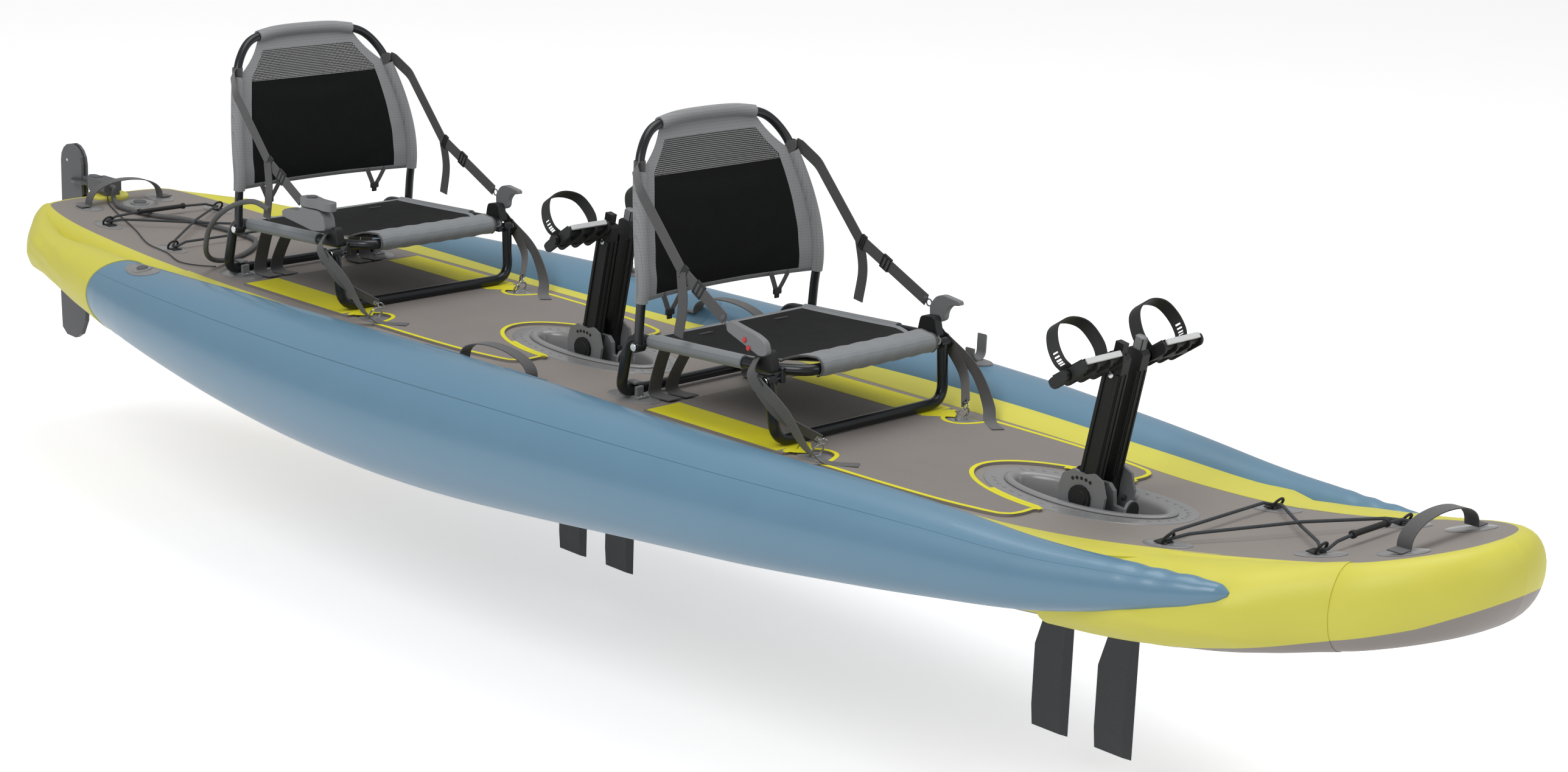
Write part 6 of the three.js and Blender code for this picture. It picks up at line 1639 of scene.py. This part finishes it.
def drives():
    for name, well in WELLS:
        dx = well + DRIVE_AHEAD
        for side, sign in SIDES:
            pedal(name, side, sign, dx)
            arm(name, side, sign, dx)
        tab = turned(brick(vec(0, 27, 289), (21, 16, 34), lip=3), LEAN, dx, 0, AXLE_Z)
        rides(piece("arm_tab_" + name, tab, grey_nylon), "arm_port_" + name)
        edged("drive_spine_" + name, grey_nylon, 0.9)
        edged("drive_shaft_" + name, black_nylon, 1.2, 50)
        for which in ("fore", "aft"):
            edged(f"fin_{which}_{name}", fin_rubber, 0.6)
        caps = [cross_bar(dx, sign * 51.2, sign * 52.6, AXLE_Z, 16, 28) for sign in SIGNS]
        knobs = [bar(vec(dx + 89, -15, 156), vec(dx + 97, -15, 156), 17, 24),
                 bar(vec(dx + 60, 0, 170), vec(dx + 66, 0, 170), 6, 16)]
        holes = []
        for degrees in (60, 75, 90, 105, 120):
            t = math.radians(degrees)
            x, z = dx - 40 * math.cos(t), 172 + 28 * math.sin(t)
            holes += [cross_bar(x, sign * 45.2, sign * 45.9, z, 3.2, 12) for sign in SIGNS]
        for key, parts in (("drive_caps_", caps), ("drive_knobs_", knobs), ("cheek_holes_", holes)):
            rides(piece(key + name, combined(*parts), black_nylon), "hull")


def rudder():
    for node, width in (("rudder_bracket", 1.2), ("rudder_head", 1.2), ("rudder_blade", 1.5)):
        edged(node, dark_nylon, width)
    rides(piece("rudder_base_disc", disc_patch(-2072, 0, 51, 51, 5.4, 40), lime_cloth), "hull")
    bolts = [cross_bar(-2245, s * 10, s * 11.2, 238, 4, 14) for s in SIGNS]
    rides(piece("rudder_plate_bolts", combined(*bolts), bright_steel), "rudder_carrier")


# Studio

WHITE = (1, 1, 1, 1)


def white_room():
    """A world that lights softly and shows white behind the boat."""
    world = bpy.data.worlds.new("white_room")
    bpy.context.scene.world = world
    world.use_nodes = True
    tree = world.node_tree
    tree.nodes.clear()
    ray = put(tree, "ShaderNodeLightPath").outputs
    shown = put(tree, "ShaderNodeMath", None, {0: ray["Is Camera Ray"], 1: ray["Is Transmission Ray"]},
                operation="MAXIMUM")
    soft = put(tree, "ShaderNodeBackground", {"Color": WHITE, "Strength": 0.46})
    white = put(tree, "ShaderNodeBackground", {"Color": WHITE, "Strength": 1.0})
    both = put(tree, "ShaderNodeMixShader", None,
               {0: shown.outputs[0], 1: soft.outputs[0], 2: white.outputs[0]})
    put(tree, "ShaderNodeOutputWorld", None, {"Surface": both.outputs[0]})


def paper_floor():
    """A white paper floor below the fins and the rudder, which keeps the boat's shadow."""
    reach, level = 40, -0.42
    mesh = bpy.data.meshes.new("floor")
    mesh.from_pydata([(a * reach, b * reach, level) for a, b in ((-1, -1), (1, -1), (1, 1), (-1, 1))], [],
                     [(0, 1, 2, 3)])
    paper = bpy.data.materials.new("white_paper_floor")
    paper.use_nodes = True
    tree = paper.node_tree
    tree.nodes.clear()
    ray = put(tree, "ShaderNodeLightPath").outputs
    shown = put(tree, "ShaderNodeMath", None, {0: ray["Is Camera Ray"], 1: ray["Is Glossy Ray"]},
                operation="MAXIMUM")
    matt = put(tree, "ShaderNodeBsdfDiffuse", {"Color": (0.86, 0.86, 0.86, 1)})
    bright = put(tree, "ShaderNodeEmission", {"Color": WHITE, "Strength": 0.5})
    lit = put(tree, "ShaderNodeAddShader", None, {0: matt.outputs[0], 1: bright.outputs[0]})
    both = put(tree, "ShaderNodeMixShader", None,
               {0: shown.outputs[0], 1: matt.outputs[0], 2: lit.outputs[0]})
    put(tree, "ShaderNodeOutputMaterial", None, {"Surface": both.outputs[0]})
    mesh.materials.append(paper)
    linked(bpy.data.objects.new("floor", mesh))


def lamps():
    aim = Vector((0, 0, 0.2))
    for name, place, size, power in (("key_panel", (1.5, -5.5, 5.5), 4.0, 225),
                                     ("top_panel", (0, 1.0, 6.5), 5.0, 185),
                                     ("bow_panel", (6.5, 2.0, 3.0), 3.0, 55)):
        data = bpy.data.lights.new(name, "AREA")
        data.shape = "DISK"
        data.size = size
        data.energy = power
        lamp = linked(bpy.data.objects.new(name, data))
        lamp.location = place
        lamp.rotation_mode = "QUATERNION"
        lamp.rotation_quaternion = (Vector(place) - aim).to_track_quat("Z", "Y")


camera()
bungee("bow", *BOW_LOOPS)
bungee("stern", *STERN_LOOPS)
steering_cords()
hull()
wells()
seats()
drives()
rudder()
white_room()
paper_floor()
lamps()
bpy.context.scene.view_settings.view_transform = "Standard"
